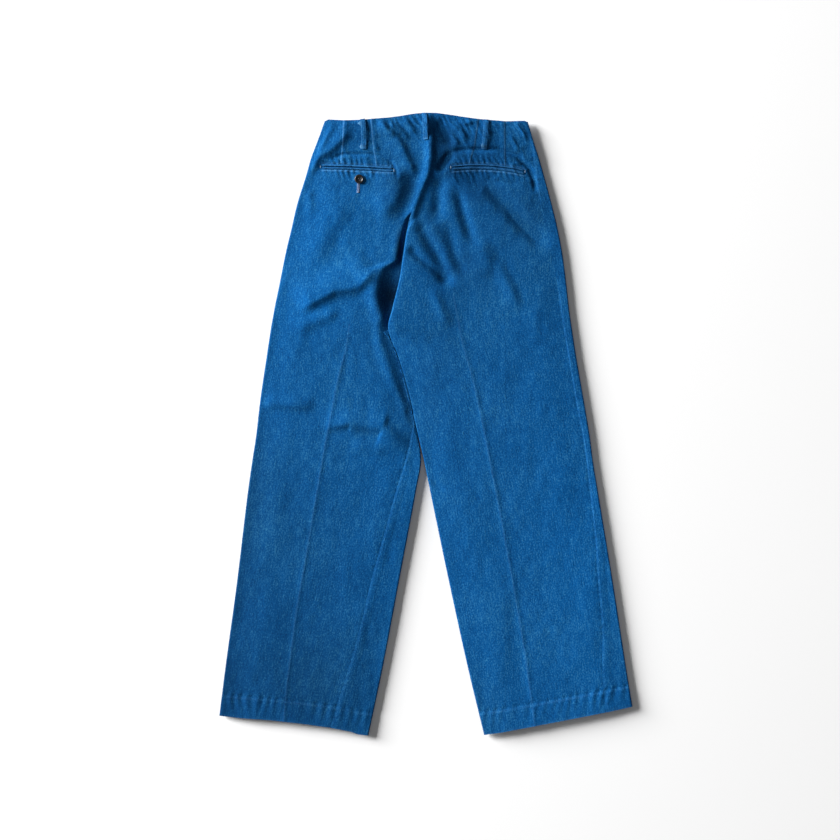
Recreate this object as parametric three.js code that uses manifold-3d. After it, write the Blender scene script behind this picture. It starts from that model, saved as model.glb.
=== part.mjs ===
// Wide-leg trousers laid flat with the back side up, in millimetres.
// X runs across, Y towards the waist and Z up. The front panels lie on the surface at z = 0.
// Left and right are the wearer's: seen from above, the left leg is on the side of negative X.
import * as THREE from "three";
import { mergeVertices } from "three/addons/utils/BufferGeometryUtils.js";
import Module from "manifold-3d";

const wasm = await Module();
wasm.setup();

// Cloth
const cloth = 1.2; // thickness of one layer
const seamGap = 0.3; // between two panels at a seam
const legGap = 0.9; // between the two legs, and below the lap at the centre back
const layerGap = 0.5; // least air between the two layers
const foldRadius = 1.9; // of a leg's folded edges
const loft = 1.8; // rise of the upper layer inside its folded edges
const loftReach = 45; // distance over which it rises
const hemDepth = 36;
const hemTurn = 0.6; // extra thickness where the hem is turned up

// Heights of the waist and hem edges, from the middle of the whole length
const waist = { centre: 513, side: 501 };
const hem = { inner: -513, left: -481, right: -465 };
const crotch = { x: -62, y: 161 };
const frontDip = 14; // the front waist edge is this much lower at the centre
const frontDipEnd = 0.12; // share of the length over which that fades

// Outline seen from above. Above the crotch, the two inner edges are the centre back line.
const outline = [
  { y: 513, leftOuter: -163, leftInner: -2, rightInner: -2, rightOuter: 166 },
  { y: 490, leftOuter: -170, leftInner: 2, rightInner: 2, rightOuter: 172 },
  { y: 461, leftOuter: -181, leftInner: 5, rightInner: 5, rightOuter: 180.5 },
  { y: 438, leftOuter: -189.5, leftInner: 5, rightInner: 5, rightOuter: 188 },
  { y: 412, leftOuter: -197, leftInner: 3, rightInner: 3, rightOuter: 195.5 },
  { y: 362, leftOuter: -212.5, leftInner: -18, rightInner: -18, rightOuter: 209 },
  { y: 325, leftOuter: -221, leftInner: -30, rightInner: -30, rightOuter: 218 },
  { y: 283, leftOuter: -231, leftInner: -37, rightInner: -37, rightOuter: 226 },
  { y: 238, leftOuter: -240, leftInner: -44, rightInner: -44, rightOuter: 232 },
  { y: 189, leftOuter: -250, leftInner: -56, rightInner: -56, rightOuter: 237.5 },
  { y: 161, leftOuter: -255, leftInner: -62, rightInner: -62, rightOuter: 241.5 },
  { y: 115, leftOuter: -262, leftInner: -46, rightInner: -46, rightOuter: 248.5 },
  { y: 40, leftOuter: -273, leftInner: -25, rightInner: -25, rightOuter: 261.5 },
  { y: -20, leftOuter: -280, leftInner: -12, rightInner: -12, rightOuter: 271.5 },
  { y: -59, leftOuter: -286, leftInner: -7, rightInner: -3, rightOuter: 276.5 },
  { y: -108, leftOuter: -293, leftInner: -15, rightInner: 7, rightOuter: 284.5 },
  { y: -257, leftOuter: -311, leftInner: -43, rightInner: 38, rightOuter: 309 },
  { y: -405, leftOuter: -331, leftInner: -71, rightInner: 70.5, rightOuter: 332 },
  { y: -513, leftOuter: -344.5, leftInner: -94, rightInner: 96.5, rightOuter: 350 },
];

// Where the side seams and inseams lie, as distances from the nearest folded edge:
// the left inseam and the right outseam on the upper side, the other two underneath.
// The left inseam stays at the fold down to the knee, where it turns onto the upper side.
const seams = [
  { y: 501, leftInseam: 3, leftOutseam: 3, rightInseam: 3, rightOutseam: 20 },
  { y: 470, leftInseam: 3, leftOutseam: 4, rightInseam: 3, rightOutseam: 6 },
  { y: 425, leftInseam: 3, leftOutseam: 8, rightInseam: 3, rightOutseam: 12 },
  { y: 360, leftInseam: 3, leftOutseam: 16, rightInseam: 3, rightOutseam: 20 },
  { y: 240, leftInseam: 3, leftOutseam: 20, rightInseam: 3, rightOutseam: 16 },
  { y: 161, leftInseam: 3, leftOutseam: 24, rightInseam: 6, rightOutseam: 14 },
  { y: 10, leftInseam: 3, leftOutseam: 34, rightInseam: 24, rightOutseam: 13 },
  { y: -20, leftInseam: 12, leftOutseam: 40, rightInseam: 26, rightOutseam: 12 },
  { y: -59, leftInseam: 26, leftOutseam: 44, rightInseam: 28, rightOutseam: 11 },
  { y: -100, leftInseam: 32, leftOutseam: 46, rightInseam: 30, rightOutseam: 13 },
  { y: -190, leftInseam: 40, leftOutseam: 52, rightInseam: 34, rightOutseam: 18 },
  { y: -257, leftInseam: 46, leftOutseam: 58, rightInseam: 40, rightOutseam: 24 },
  { y: -340, leftInseam: 50, leftOutseam: 64, rightInseam: 46, rightOutseam: 30 },
  { y: -425, leftInseam: 58, leftOutseam: 74, rightInseam: 54, rightOutseam: 42 },
  { y: -513, leftInseam: 66, leftOutseam: 79, rightInseam: 58, rightOutseam: 45 },
];

// The largest folds of the upper layer: the line each follows, its half width and its height.
const folds = [
  { part: "ridge down the centre back seam", line: [[4, 490], [6, 425], [-6, 378], [-22, 335]], width: 16, height: 3.2 },
  { part: "right half lapping over the left", line: [[-20, 300], [-29, 245], [-44, 188]], width: 22, height: 7 },
  { part: "left half beside that lap", line: [[-86, 300], [-84, 250], [-84, 205]], width: 17, height: 4.5 },
  { part: "hollow under the lap", line: [[-34, 312], [-45, 268], [-60, 212], [-68, 170]], width: 11, height: -6 },
  { part: "left of the centre back", line: [[-75, 491], [-42, 464], [-26, 431], [-12, 403]], width: 11, height: -2.2 },
  { part: "end of the left pocket", line: [[-54, 425], [-37, 392], [-47, 366], [-67, 342]], width: 13, height: -2.4 },
  { part: "between those two", line: [[-78, 470], [-58, 448]], width: 13, height: 1.6 },
  { part: "right of the centre back", line: [[22, 500], [30, 460], [22, 425], [16, 365]], width: 10, height: -2.6 },
  { part: "end of the right pocket", line: [[54, 486], [62, 450]], width: 13, height: 1.8 },
  { part: "left pocket bag", line: [[-120, 494], [-153, 453], [-182, 420], [-191, 395], [-184, 345]], width: 11, height: -1.8 },
  { part: "above the left pocket", line: [[-141, 502], [-172, 462]], width: 12, height: 1.6 },
  { part: "right pocket bag", line: [[95, 455], [139, 446], [172, 424], [186, 395], [189, 350]], width: 11, height: -1.5 },
  { part: "right seat, long drag", line: [[85, 392], [111, 372], [151, 337], [200, 299]], width: 15, height: -2.4 },
  { part: "right seat, above the drag", line: [[118, 396], [160, 362], [196, 334]], width: 15, height: 1.8 },
  { part: "right seat, short drag", line: [[45, 398], [62, 332], [85, 293]], width: 13, height: -2 },
  { part: "upper pull on the lap", line: [[-16, 337], [6, 299]], width: 11, height: -2.6 },
  { part: "lower pull on the lap", line: [[-14, 284], [4, 260], [30, 233]], width: 12, height: -3 },
  { part: "right thigh", line: [[106, 266], [128, 227], [151, 194]], width: 16, height: 1.8 },
  { part: "left hip drag", line: [[-108, 370], [-130, 326], [-169, 271]], width: 17, height: -2 },
  { part: "left thigh, upper drag", line: [[-92, 252], [-110, 222], [-153, 205], [-207, 189]], width: 15, height: -2.6 },
  { part: "left thigh, between the drags", line: [[-105, 190], [-150, 182], [-195, 172]], width: 14, height: 1.6 },
  { part: "left thigh, lower drag", line: [[-130, 160], [-179, 150], [-224, 138]], width: 16, height: -1.6 },
  { part: "left knee, above the crease", line: [[-170, 12], [-120, 18], [-75, 12]], width: 17, height: 2 },
  { part: "left knee crease", line: [[-163, -14], [-120, -6], [-70, -12], [-31, -42]], width: 12, height: -1.8 },
  { part: "beside the left inseam", line: [[-48, -60], [-85, -220], [-110, -330], [-134, -440]], width: 14, height: -1.2 },
];

// Mesh of the panels
const rowBands = [
  { to: 0.36, rows: 20 },
  { to: 1 - hemDepth / (waist.centre - hem.inner), rows: 15 },
  { to: 1, rows: 2 },
];
const topColumns = 13;
const arcColumns = 4;
const underColumns = 2;
const wideUnderColumns = 6;

// Small pieces. Places are the middles of their upper and lower ends, or their left and right ends.
const frontLoopWidth = 9.2;
const loopThickness = 1.3;
const loopBow = 1.6; // how far the middle of a loop stands off
const backLoops = [
  { name: "belt_loop_back_left", from: [-103.6, 503.5], to: [-101.9, 454], width: 8.6 },
  { name: "belt_loop_back_centre", from: [-1.4, 513.6], to: [0.2, 469.5], width: 7.6 },
  { name: "belt_loop_back_right", from: [100.2, 502.6], to: [96.9, 454], width: 8.4 },
];
const frontLoops = [
  { name: "belt_loop_front_left", x: -84 },
  { name: "belt_loop_front_right", x: 84 },
];
const frontLoopTop = 492;
const frontLoopLength = 48;
// Each back pocket is a slot between two welts, upper and lower. Its middle is raised by the bend.
const pockets = [
  { side: "left", from: [-170.5, 425.4], to: [-55.5, 420.3], bend: 1, upper: 2.9, slot: 1.9, lower: 2.9 },
  { side: "right", from: [44.5, 423.8], to: [162, 417.6], bend: 5, upper: 2.3, slot: 1.7, lower: 4.3 },
];
const weltThickness = 1.2;
const rest = 0.35; // clearance of a piece above the panel that carries it
const pocketButton = { x: -109.3, y: 404.6, diameter: 15.2, thickness: 2.8 };
const waistButton = { y: 486, x: -9, diameter: 16, thickness: 2 };
const frontLift = { height: 2.4, from: 425, to: 448 }; // front waist over its loops and button

const mix = THREE.MathUtils.lerp;
const step = THREE.MathUtils.smoothstep;

// A value of a table at a height y, by a smooth curve through its rows.
function tableValue(table, column, y) {
  let i = 1;
  while (i < table.length - 1 && table[i].y > y) i += 1;
  const slope = (a, b) => (b[column] - a[column]) / (b.y - a.y);
  const above = table[i - 1];
  const below = table[i];
  const gap = below.y - above.y;
  const share = THREE.MathUtils.clamp((y - above.y) / gap, 0, 1);
  const middle = slope(above, below);
  const before = i > 1 ? (slope(table[i - 2], above) + middle) / 2 : middle;
  const after = i < table.length - 1 ? (slope(below, table[i + 1]) + middle) / 2 : middle;
  const square = share * share;
  const cube = square * share;
  return (
    (2 * cube - 3 * square + 1) * above[column] +
    (cube - 2 * square + share) * gap * before +
    (3 * square - 2 * cube) * below[column] +
    (cube - square) * gap * after
  );
}

// How much of a row belongs to the leg below the crotch, to the lap above it and to the seam above that.
function zones(y) {
  const leg = 1 - step(y, crotch.y - 22, crotch.y + 12);
  const seam = step(y, 318, 358);
  return { leg, seam, lap: 1 - leg - seam };
}

function distanceToLine(line, x, y) {
  let nearest = Infinity;
  for (let i = 1; i < line.length; i += 1) {
    const [ax, ay] = line[i - 1];
    const [bx, by] = line[i];
    const length = (bx - ax) ** 2 + (by - ay) ** 2;
    const share = THREE.MathUtils.clamp(((x - ax) * (bx - ax) + (y - ay) * (by - ay)) / length, 0, 1);
    nearest = Math.min(nearest, Math.hypot(x - mix(ax, bx, share), y - mix(ay, by, share)));
  }
  return nearest;
}

const onSide = (side, x, y) => (side === "left") === x < tableValue(outline, "leftInner", y) + 0.01;

function bottomHeight(y) {
  return frontLift.height * step(y, frontLift.from, frontLift.to);
}

// Height of the upper layer's outer face.
function topHeight(side, x, y) {
  const outward = side === "left" ? -1 : 1;
  const fromOuter = outward * (tableValue(outline, side + "Outer", y) - x);
  const fromInner = outward * (x - tableValue(outline, side + "Inner", y));
  const { leg } = zones(y);
  const outerRise = step(fromOuter, foldRadius, loftReach);
  const innerRise = mix(1, step(fromInner, foldRadius, loftReach), leg);
  let height = 2 * foldRadius + loft * outerRise * innerRise + bottomHeight(y) * 0.6;
  for (const fold of folds) {
    const far = distanceToLine(fold.line, x, y) / fold.width;
    const crossesLap = !onSide(side, ...fold.line[1]) && zones(y).seam < 1;
    if (far < 2.5 && !crossesLap) height += fold.height * Math.exp(-far * far) * outerRise * innerRise;
  }
  return Math.max(height, bottomHeight(y) + 2 * cloth + layerGap);
}

// One row across a half: a straight line from the inner to the outer edge.
function sectionAt(side, share) {
  const outward = side === "left" ? -1 : 1;
  const innerY = mix(waist.centre, hem.inner, share);
  const outerY = mix(waist.side, hem[side], share);
  const zone = zones(innerY);
  const gap = mix(legGap, seamGap, zone.seam);
  const innerX = tableValue(outline, side + "Inner", innerY) + (outward * gap) / 2;
  const inner = new THREE.Vector2(innerX, innerY);
  const outer = new THREE.Vector2(tableValue(outline, side + "Outer", outerY), outerY);
  const across = outer.clone().sub(inner);
  const width = across.length();
  across.normalize();
  const seam = (name) => tableValue(seams, name, innerY);
  const radius = mix(foldRadius, 4.5, zone.lap);
  const frontX = mix(0, crotch.x, (waist.centre - innerY) / (waist.centre - crotch.y));
  const centreFront = (frontX - innerX) / across.x;
  return { side, share, inner, across, width, seam, zone, radius, centreFront };
}

// A point of a section: along is its distance from the inner edge, and turn goes from 0 on the upper
// side to half a circle underneath, round the folded edge that bend points to (-1 inner, 1 outer).
function pointAt(section, { along, turn, bend }) {
  const { side, share, inner, across, width, radius } = section;
  const reach = (bend < 0 ? radius : foldRadius) * Math.sin(turn) * bend;
  const under = (1 - Math.cos(turn)) / 2;
  const root = inner.clone().addScaledVector(across, along);
  const flat = inner.clone().addScaledVector(across, along + reach);
  const dip = frontDip * Math.max(0, 1 - share / frontDipEnd) * under * (1 - along / width);
  const top = topHeight(side, root.x, root.y);
  const hemRow = share > rowBands[1].to + 0.001 ? hemTurn * (1 - under) : 0;
  const outer = new THREE.Vector3(flat.x, flat.y - dip, mix(top + hemRow, bottomHeight(flat.y), under));
  const out = new THREE.Vector3(
    across.x * Math.sin(turn) * bend,
    across.y * Math.sin(turn) * bend,
    Math.cos(turn),
  );
  const face = outer.clone().addScaledVector(out, -cloth - hemRow);
  return { outer, inner: face };
}

const spread = (from, to, count) =>
  Array.from({ length: count + 1 }, (_, i) => mix(from, to, i / count));

// Stops along a section on one level.
const level = (from, to, count, turn, bend) =>
  spread(from, to, count).map((along) => ({ along, turn, bend }));

// Stops round a folded edge.
const arc = (along, from, to, count, bend) =>
  spread(from, to, count).map((turn) => ({ along, turn, bend }));

// The same number of stops in several zones, blended by their weights.
function blend(parts) {
  return parts[0].stops.map((first, i) => {
    const sum = (key) => parts.reduce((total, part) => total + part.weight * part.stops[i][key], 0);
    return { along: sum("along"), turn: sum("turn"), bend: first.bend };
  });
}

const half = Math.PI;

const panelStops = {
  back_left(section) {
    const { width, seam, zone } = section;
    const start = mix(0, seam("leftInseam") + seamGap / 2, zone.leg);
    const edge = width - foldRadius;
    return [
      ...level(start, edge, topColumns, 0, 1),
      ...arc(edge, 0, half, arcColumns, 1).slice(1),
      ...level(edge, edge - seam("leftOutseam"), underColumns, half, 1).slice(1),
    ];
  },
  front_left(section) {
    const { width, seam, zone, centreFront } = section;
    const start = width - foldRadius - seam("leftOutseam") - seamGap;
    const end = centreFront + seamGap / 2;
    const leg = [
      ...level(start, foldRadius, wideUnderColumns, half, -1),
      ...arc(foldRadius, half, 0, arcColumns, -1).slice(1),
      ...level(foldRadius, seam("leftInseam") - seamGap / 2, underColumns, 0, -1).slice(1),
    ];
    const seat = [
      ...level(start, end + 24, wideUnderColumns, half, -1),
      ...level(end + 24, end, arcColumns + underColumns, half, -1).slice(1),
    ];
    return blend([
      { weight: zone.leg, stops: leg },
      { weight: 1 - zone.leg, stops: seat },
    ]);
  },
  back_right(section) {
    const { width, seam, zone, radius } = section;
    const end = width - seam("rightOutseam") - seamGap / 2;
    const turned = seam("rightInseam");
    const leg = [
      ...level(foldRadius + turned, foldRadius, underColumns, half, -1),
      ...arc(foldRadius, half, 0, arcColumns, -1).slice(1),
    ];
    const lap = arc(radius, half * 0.62, 0, arcColumns + underColumns, -1);
    const flat = level(0, 20, arcColumns + underColumns, 0, -1);
    const edge = blend([
      { weight: zone.leg, stops: leg },
      { weight: zone.lap, stops: lap },
      { weight: zone.seam, stops: flat },
    ]);
    return [...edge, ...level(edge.at(-1).along, end, topColumns, 0, -1).slice(1)];
  },
  front_right(section) {
    const { width, seam, zone, centreFront } = section;
    const start = width - seam("rightOutseam") + seamGap / 2;
    const edge = width - foldRadius;
    const legEnd = foldRadius + seam("rightInseam") + seamGap;
    const end = mix(centreFront + seamGap / 2, legEnd, step(zone.leg, 0, 0.45));
    return [
      ...level(start, edge, underColumns, 0, 1),
      ...arc(edge, 0, half, arcColumns, 1).slice(1),
      ...level(edge, end, wideUnderColumns, half, 1).slice(1),
    ];
  },
};

// A closed wall from two grids of points, its outer and inner faces.
function wallGeometry(outer, inner) {
  const rows = outer.length;
  const columns = outer[0].length;
  const points = [...outer.flat(), ...inner.flat()];
  const index = [];
  const at = (face, row, column) => face * rows * columns + row * columns + column;
  const quad = (a, b, c, d) => index.push(a, b, c, a, c, d);
  for (let i = 0; i < rows - 1; i += 1) {
    for (let j = 0; j < columns - 1; j += 1) {
      quad(at(0, i, j), at(0, i, j + 1), at(0, i + 1, j + 1), at(0, i + 1, j));
      quad(at(1, i, j), at(1, i + 1, j), at(1, i + 1, j + 1), at(1, i, j + 1));
    }
  }
  for (let i = 0; i < rows - 1; i += 1) {
    quad(at(0, i, 0), at(0, i + 1, 0), at(1, i + 1, 0), at(1, i, 0));
    const j = columns - 1;
    quad(at(0, i, j), at(1, i, j), at(1, i + 1, j), at(0, i + 1, j));
  }
  for (let j = 0; j < columns - 1; j += 1) {
    quad(at(0, 0, j), at(1, 0, j), at(1, 0, j + 1), at(0, 0, j + 1));
    const i = rows - 1;
    quad(at(0, i, j), at(0, i, j + 1), at(1, i, j + 1), at(1, i, j));
  }
  const geometry = new THREE.BufferGeometry().setFromPoints(points).setIndex(index);
  return facingOut(geometry);
}

// The geometry with its triangles turned round if they enclose a negative volume.
function facingOut(geometry) {
  const place = geometry.getAttribute("position");
  const index = geometry.index.array;
  const [a, b, c] = [0, 1, 2].map(() => new THREE.Vector3());
  let volume = 0;
  for (let i = 0; i < index.length; i += 3) {
    a.fromBufferAttribute(place, index[i]);
    b.fromBufferAttribute(place, index[i + 1]);
    c.fromBufferAttribute(place, index[i + 2]);
    volume += a.dot(b.cross(c));
  }
  if (volume < 0) {
    for (let i = 0; i < index.length; i += 3) [index[i + 1], index[i + 2]] = [index[i + 2], index[i + 1]];
  }
  geometry.computeVertexNormals();
  return geometry;
}

const shares = [0];
for (const band of rowBands) shares.push(...spread(shares.at(-1), band.to, band.rows).slice(1));

const denim = new THREE.MeshStandardMaterial({ color: 0x15558f, roughness: 0.9, metalness: 0 });
const button = new THREE.MeshStandardMaterial({ color: 0x17161a, roughness: 0.35, metalness: 0 });

function named(name, geometry, material) {
  const mesh = new THREE.Mesh(geometry, material);
  mesh.name = name;
  return mesh;
}

function panel(name) {
  const side = name.split("_")[1];
  const rows = shares.map((share) => {
    const section = sectionAt(side, share);
    return panelStops[name](section).map((stop) => pointAt(section, stop));
  });
  const outer = rows.map((row) => row.map((point) => point.outer));
  const inner = rows.map((row) => row.map((point) => point.inner));
  return named(name, wallGeometry(outer, inner), denim);
}

const panels = Object.keys(panelStops).map(panel);

// Height of a panel's face at a place, met from above or below.
const ray = new THREE.Raycaster();
function faceHeight(x, y, fromBelow = false) {
  ray.set(new THREE.Vector3(x, y, fromBelow ? -50 : 80), new THREE.Vector3(0, 0, fromBelow ? 1 : -1));
  const [hit] = ray.intersectObjects(panels);
  return hit ? hit.point.z : null;
}

// A flat strip that follows the panel it lies on. In the middle of its length it stands off by the
// bow, and lies aside from a straight line by the bend.
function strip({ from, to, width, thickness, steps, bow, bend = 0, fromBelow }) {
  const start = new THREE.Vector2(...from);
  const run = new THREE.Vector2(...to).sub(start);
  const across = new THREE.Vector2(-run.y, run.x).normalize();
  const way = fromBelow ? -1 : 1;
  const placeAt = (share, aside) =>
    start.clone().addScaledVector(run, share).addScaledVector(across, aside + 4 * bend * share * (1 - share));
  const outer = [];
  const inner = [];
  for (let i = 0; i <= steps; i += 1) {
    const share = i / steps;
    const samples = [-0.5, 0, 0.5].flatMap((ahead) =>
      [-0.5, 0, 0.5].map((aside) => {
        const near = THREE.MathUtils.clamp(share + ahead / steps, 0, 1);
        const place = placeAt(near, aside * width);
        return faceHeight(place.x, place.y, fromBelow);
      }),
    );
    const found = samples.filter((height) => height !== null);
    const seat = fromBelow ? Math.min(...found) : Math.max(...found);
    const low = seat + way * (rest + bow * Math.sin(Math.PI * share));
    const edges = [-0.5, 0.5].map((aside) => placeAt(share, aside * width));
    inner.push(edges.map((edge) => new THREE.Vector3(edge.x, edge.y, low)));
    outer.push(edges.map((edge) => new THREE.Vector3(edge.x, edge.y, low + way * thickness)));
  }
  return wallGeometry(outer, inner);
}

function solidOf(geometry) {
  const bare = geometry.clone();
  bare.deleteAttribute("normal");
  bare.deleteAttribute("uv");
  const merged = mergeVertices(bare, 1e-3);
  const mesh = new wasm.Mesh({
    numProp: 3,
    vertProperties: merged.getAttribute("position").array,
    triVerts: new Uint32Array(merged.index.array),
  });
  return new wasm.Manifold(mesh);
}

function geometryOf(solid) {
  const mesh = solid.getMesh();
  const geometry = new THREE.BufferGeometry();
  geometry.setAttribute("position", new THREE.BufferAttribute(mesh.vertProperties, 3));
  geometry.setIndex(new THREE.BufferAttribute(mesh.triVerts, 1));
  geometry.computeVertexNormals();
  return geometry;
}

// A round button with a raised rim, a dished middle and four sewing holes.
function buttonGeometry({ diameter, thickness }) {
  const radius = diameter / 2;
  const profile = [
    [0, 0],
    [radius * 0.8, 0],
    [radius, thickness * 0.35],
    [radius, thickness * 0.75],
    [radius * 0.9, thickness],
    [radius * 0.74, thickness],
    [radius * 0.62, thickness * 0.72],
    [0, thickness * 0.72],
  ].map(([x, y]) => new THREE.Vector2(x, y));
  const body = new THREE.LatheGeometry(profile, 28).rotateX(Math.PI / 2);
  let solid = solidOf(body);
  const holeRadius = diameter * 0.055;
  const holePitch = diameter * 0.105;
  for (const x of [-1, 1]) {
    for (const y of [-1, 1]) {
      const hole = new THREE.CylinderGeometry(holeRadius, holeRadius, thickness * 4, 8).rotateX(Math.PI / 2);
      solid = solid.subtract(solidOf(hole.translate(x * holePitch, y * holePitch, 0)));
    }
  }
  return geometryOf(solid);
}

const trousers = new THREE.Group();
trousers.add(...panels);

for (const { name, from, to, width } of backLoops) {
  const loop = strip({ from, to, width, thickness: loopThickness, steps: 8, bow: loopBow });
  trousers.add(named(name, loop, denim));
}
for (const { name, x } of frontLoops) {
  const loop = strip({
    from: [x, frontLoopTop],
    to: [x, frontLoopTop - frontLoopLength],
    width: frontLoopWidth,
    thickness: loopThickness,
    steps: 6,
    bow: 0,
    fromBelow: true,
  });
  trousers.add(named(name, loop, denim));
}

for (const { side, from, to, bend, upper, slot, lower } of pockets) {
  for (const [edge, width, way] of [["upper", upper, 1], ["lower", lower, -1]]) {
    const lift = (way * (width + slot)) / 2;
    const welt = strip({
      from: [from[0], from[1] + lift],
      to: [to[0], to[1] + lift],
      width,
      thickness: weltThickness,
      steps: 12,
      bow: 0,
      bend,
    });
    trousers.add(named(`back_pocket_${side}_${edge}_welt`, welt, denim));
  }
}

const pocketFastener = named("back_pocket_button", buttonGeometry(pocketButton), button);
const pocketSeat = Math.max(
  ...[[0, 0], [1, 0], [-1, 0], [0, 1], [0, -1]].map(([x, y]) =>
    faceHeight(pocketButton.x + x * 6, pocketButton.y + y * 6),
  ),
);
pocketFastener.position.set(pocketButton.x, pocketButton.y, pocketSeat + rest);
trousers.add(pocketFastener);

const waistFastener = named("waist_button", buttonGeometry(waistButton), button);
waistFastener.rotation.x = Math.PI;
waistFastener.position.set(waistButton.x, waistButton.y, frontLift.height - rest);
trousers.add(waistFastener);

export default trousers;
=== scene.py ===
# Wide-leg trousers laid flat with the back side up. Sizes are in millimetres until a mesh is made.
import math

import bmesh
import bpy
import numpy as np
from mathutils import Matrix, Vector


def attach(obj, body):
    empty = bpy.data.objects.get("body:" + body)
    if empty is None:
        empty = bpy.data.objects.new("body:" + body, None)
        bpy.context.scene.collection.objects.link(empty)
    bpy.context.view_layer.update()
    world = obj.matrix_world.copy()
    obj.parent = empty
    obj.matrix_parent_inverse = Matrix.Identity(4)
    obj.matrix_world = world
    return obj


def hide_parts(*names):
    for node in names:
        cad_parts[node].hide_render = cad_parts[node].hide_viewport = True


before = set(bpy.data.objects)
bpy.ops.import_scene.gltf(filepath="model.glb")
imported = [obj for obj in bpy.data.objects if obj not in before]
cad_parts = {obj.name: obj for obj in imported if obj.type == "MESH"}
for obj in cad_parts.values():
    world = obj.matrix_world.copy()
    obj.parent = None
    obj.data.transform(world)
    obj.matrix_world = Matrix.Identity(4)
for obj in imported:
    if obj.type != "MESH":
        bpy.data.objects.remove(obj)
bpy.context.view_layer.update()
mm = 0.001
print("frame loaded:", len(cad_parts), "nodes")

# Cut of the trousers, as in the part's own source
cut = {
    "waistCentre": 513, "waistSide": 501,
    "hemInner": -513, "hemLeft": -481, "hemRight": -465,
    "crotchX": -62, "crotchY": 161,
    "frontDip": 14, "frontDipEnd": 0.12,
    "frontLift": 2.4, "liftFrom": 425, "liftTo": 448,
}
cutLength = cut["waistCentre"] - cut["hemInner"]
outward = {"left": -1, "right": 1}  # the way from a half's inner edge to its outer one
cloth = {
    "thick": 1.1, "layerGap": 0.4, "seamGap": 0.04, "legGap": 0.6,
    "foldRadius": 2.1, "lapRadius": 2.6, "loft": 3.0, "loftReach": 60,
    "hemDepth": 36, "facingDepth": 31,
}


# Rows as dictionaries, from the names of a table's columns and its values.
def asTable(columns, *rows):
    return [dict(zip(columns, row)) for row in rows]


# The edges of the two halves at heights down the cloth
outline = asTable(
    ("y", "leftOuter", "leftInner", "rightInner", "rightOuter"),
    (513, -163, -2, -2, 166),
    (490, -170, 2, 2, 172),
    (461, -181, 5, 5, 180.5),
    (438, -189.5, 5, 5, 188),
    (412, -197, 3, 3, 195.5),
    (362, -212.5, -18, -18, 209),
    (325, -221, -30, -30, 218),
    (283, -231, -37, -37, 226),
    (238, -240, -44, -44, 232),
    (189, -250, -56, -56, 237.5),
    (161, -255, -62, -62, 241.5),
    (115, -262, -46, -46, 248.5),
    (40, -273, -25, -25, 261.5),
    (-20, -280, -12, -12, 271.5),
    (-59, -286, -7, -3, 276.5),
    (-108, -293, -15, 7, 284.5),
    (-257, -311, -43, 38, 309),
    (-405, -331, -71, 70.5, 332),
    (-513, -344.5, -94, 96.5, 350),
)
# How far each seam lies in from the edge of its leg
seams = asTable(
    ("y", "leftInseam", "leftOutseam", "rightInseam", "rightOutseam"),
    (501, 3, 3, 3, 20),
    (470, 3, 4, 3, 6),
    (425, 3, 8, 3, 12),
    (360, 3, 16, 3, 20),
    (240, 3, 20, 3, 16),
    (161, 3, 24, 6, 14),
    (10, 3, 34, 24, 13),
    (-20, 12, 40, 26, 12),
    (-59, 26, 44, 28, 11),
    (-100, 32, 46, 30, 13),
    (-190, 40, 52, 34, 18),
    (-257, 46, 58, 40, 24),
    (-340, 50, 64, 46, 30),
    (-425, 58, 74, 54, 42),
    (-513, 66, 79, 58, 45),
)

# How far the waist edge and the hems stray from straight lines between their corners
waistEdge = asTable(
    ("x", "drop"),
    (-175, 0), (-160, -2), (-135, 1.5), (-104, 3), (-81, 2.6), (-62, 2.4), (-42, 1.4), (-22, -0.6),
    (0, -1.2), (17, -2.2), (43, -0.6), (70, 1.8), (90, 3), (132, 3.4), (165, 0), (175, 0),
)
hemEdge = asTable(
    ("x", "lift"),
    (-345, 0), (-306, 0.9), (-256, 4), (-207, 5), (-158, 4.6), (-125, 2.4), (-110, -1), (-94, -0.5),
    (94, 0.5), (123, -1), (205, -1.2), (304, -1.5), (350, -0.8),
)

# Beside the right half, the left half dips under it over this width, from a rise of its own.
tuck = asTable(
    ("y", "wide", "rise"),
    (352, 1, 0), (338, 8, 0.6), (300, 9, 1), (270, 11, 1), (256, 33, 4), (238, 37, 6), (215, 33, 6),
    (196, 23, 4.5), (178, 13, 2), (160, 13, 1.5), (130, 20, 2.6), (88, 19, 2.4), (50, 14, 1.5),
    (15, 9, 0.5), (-30, 4, 0), (-50, 1, 0),
)

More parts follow.
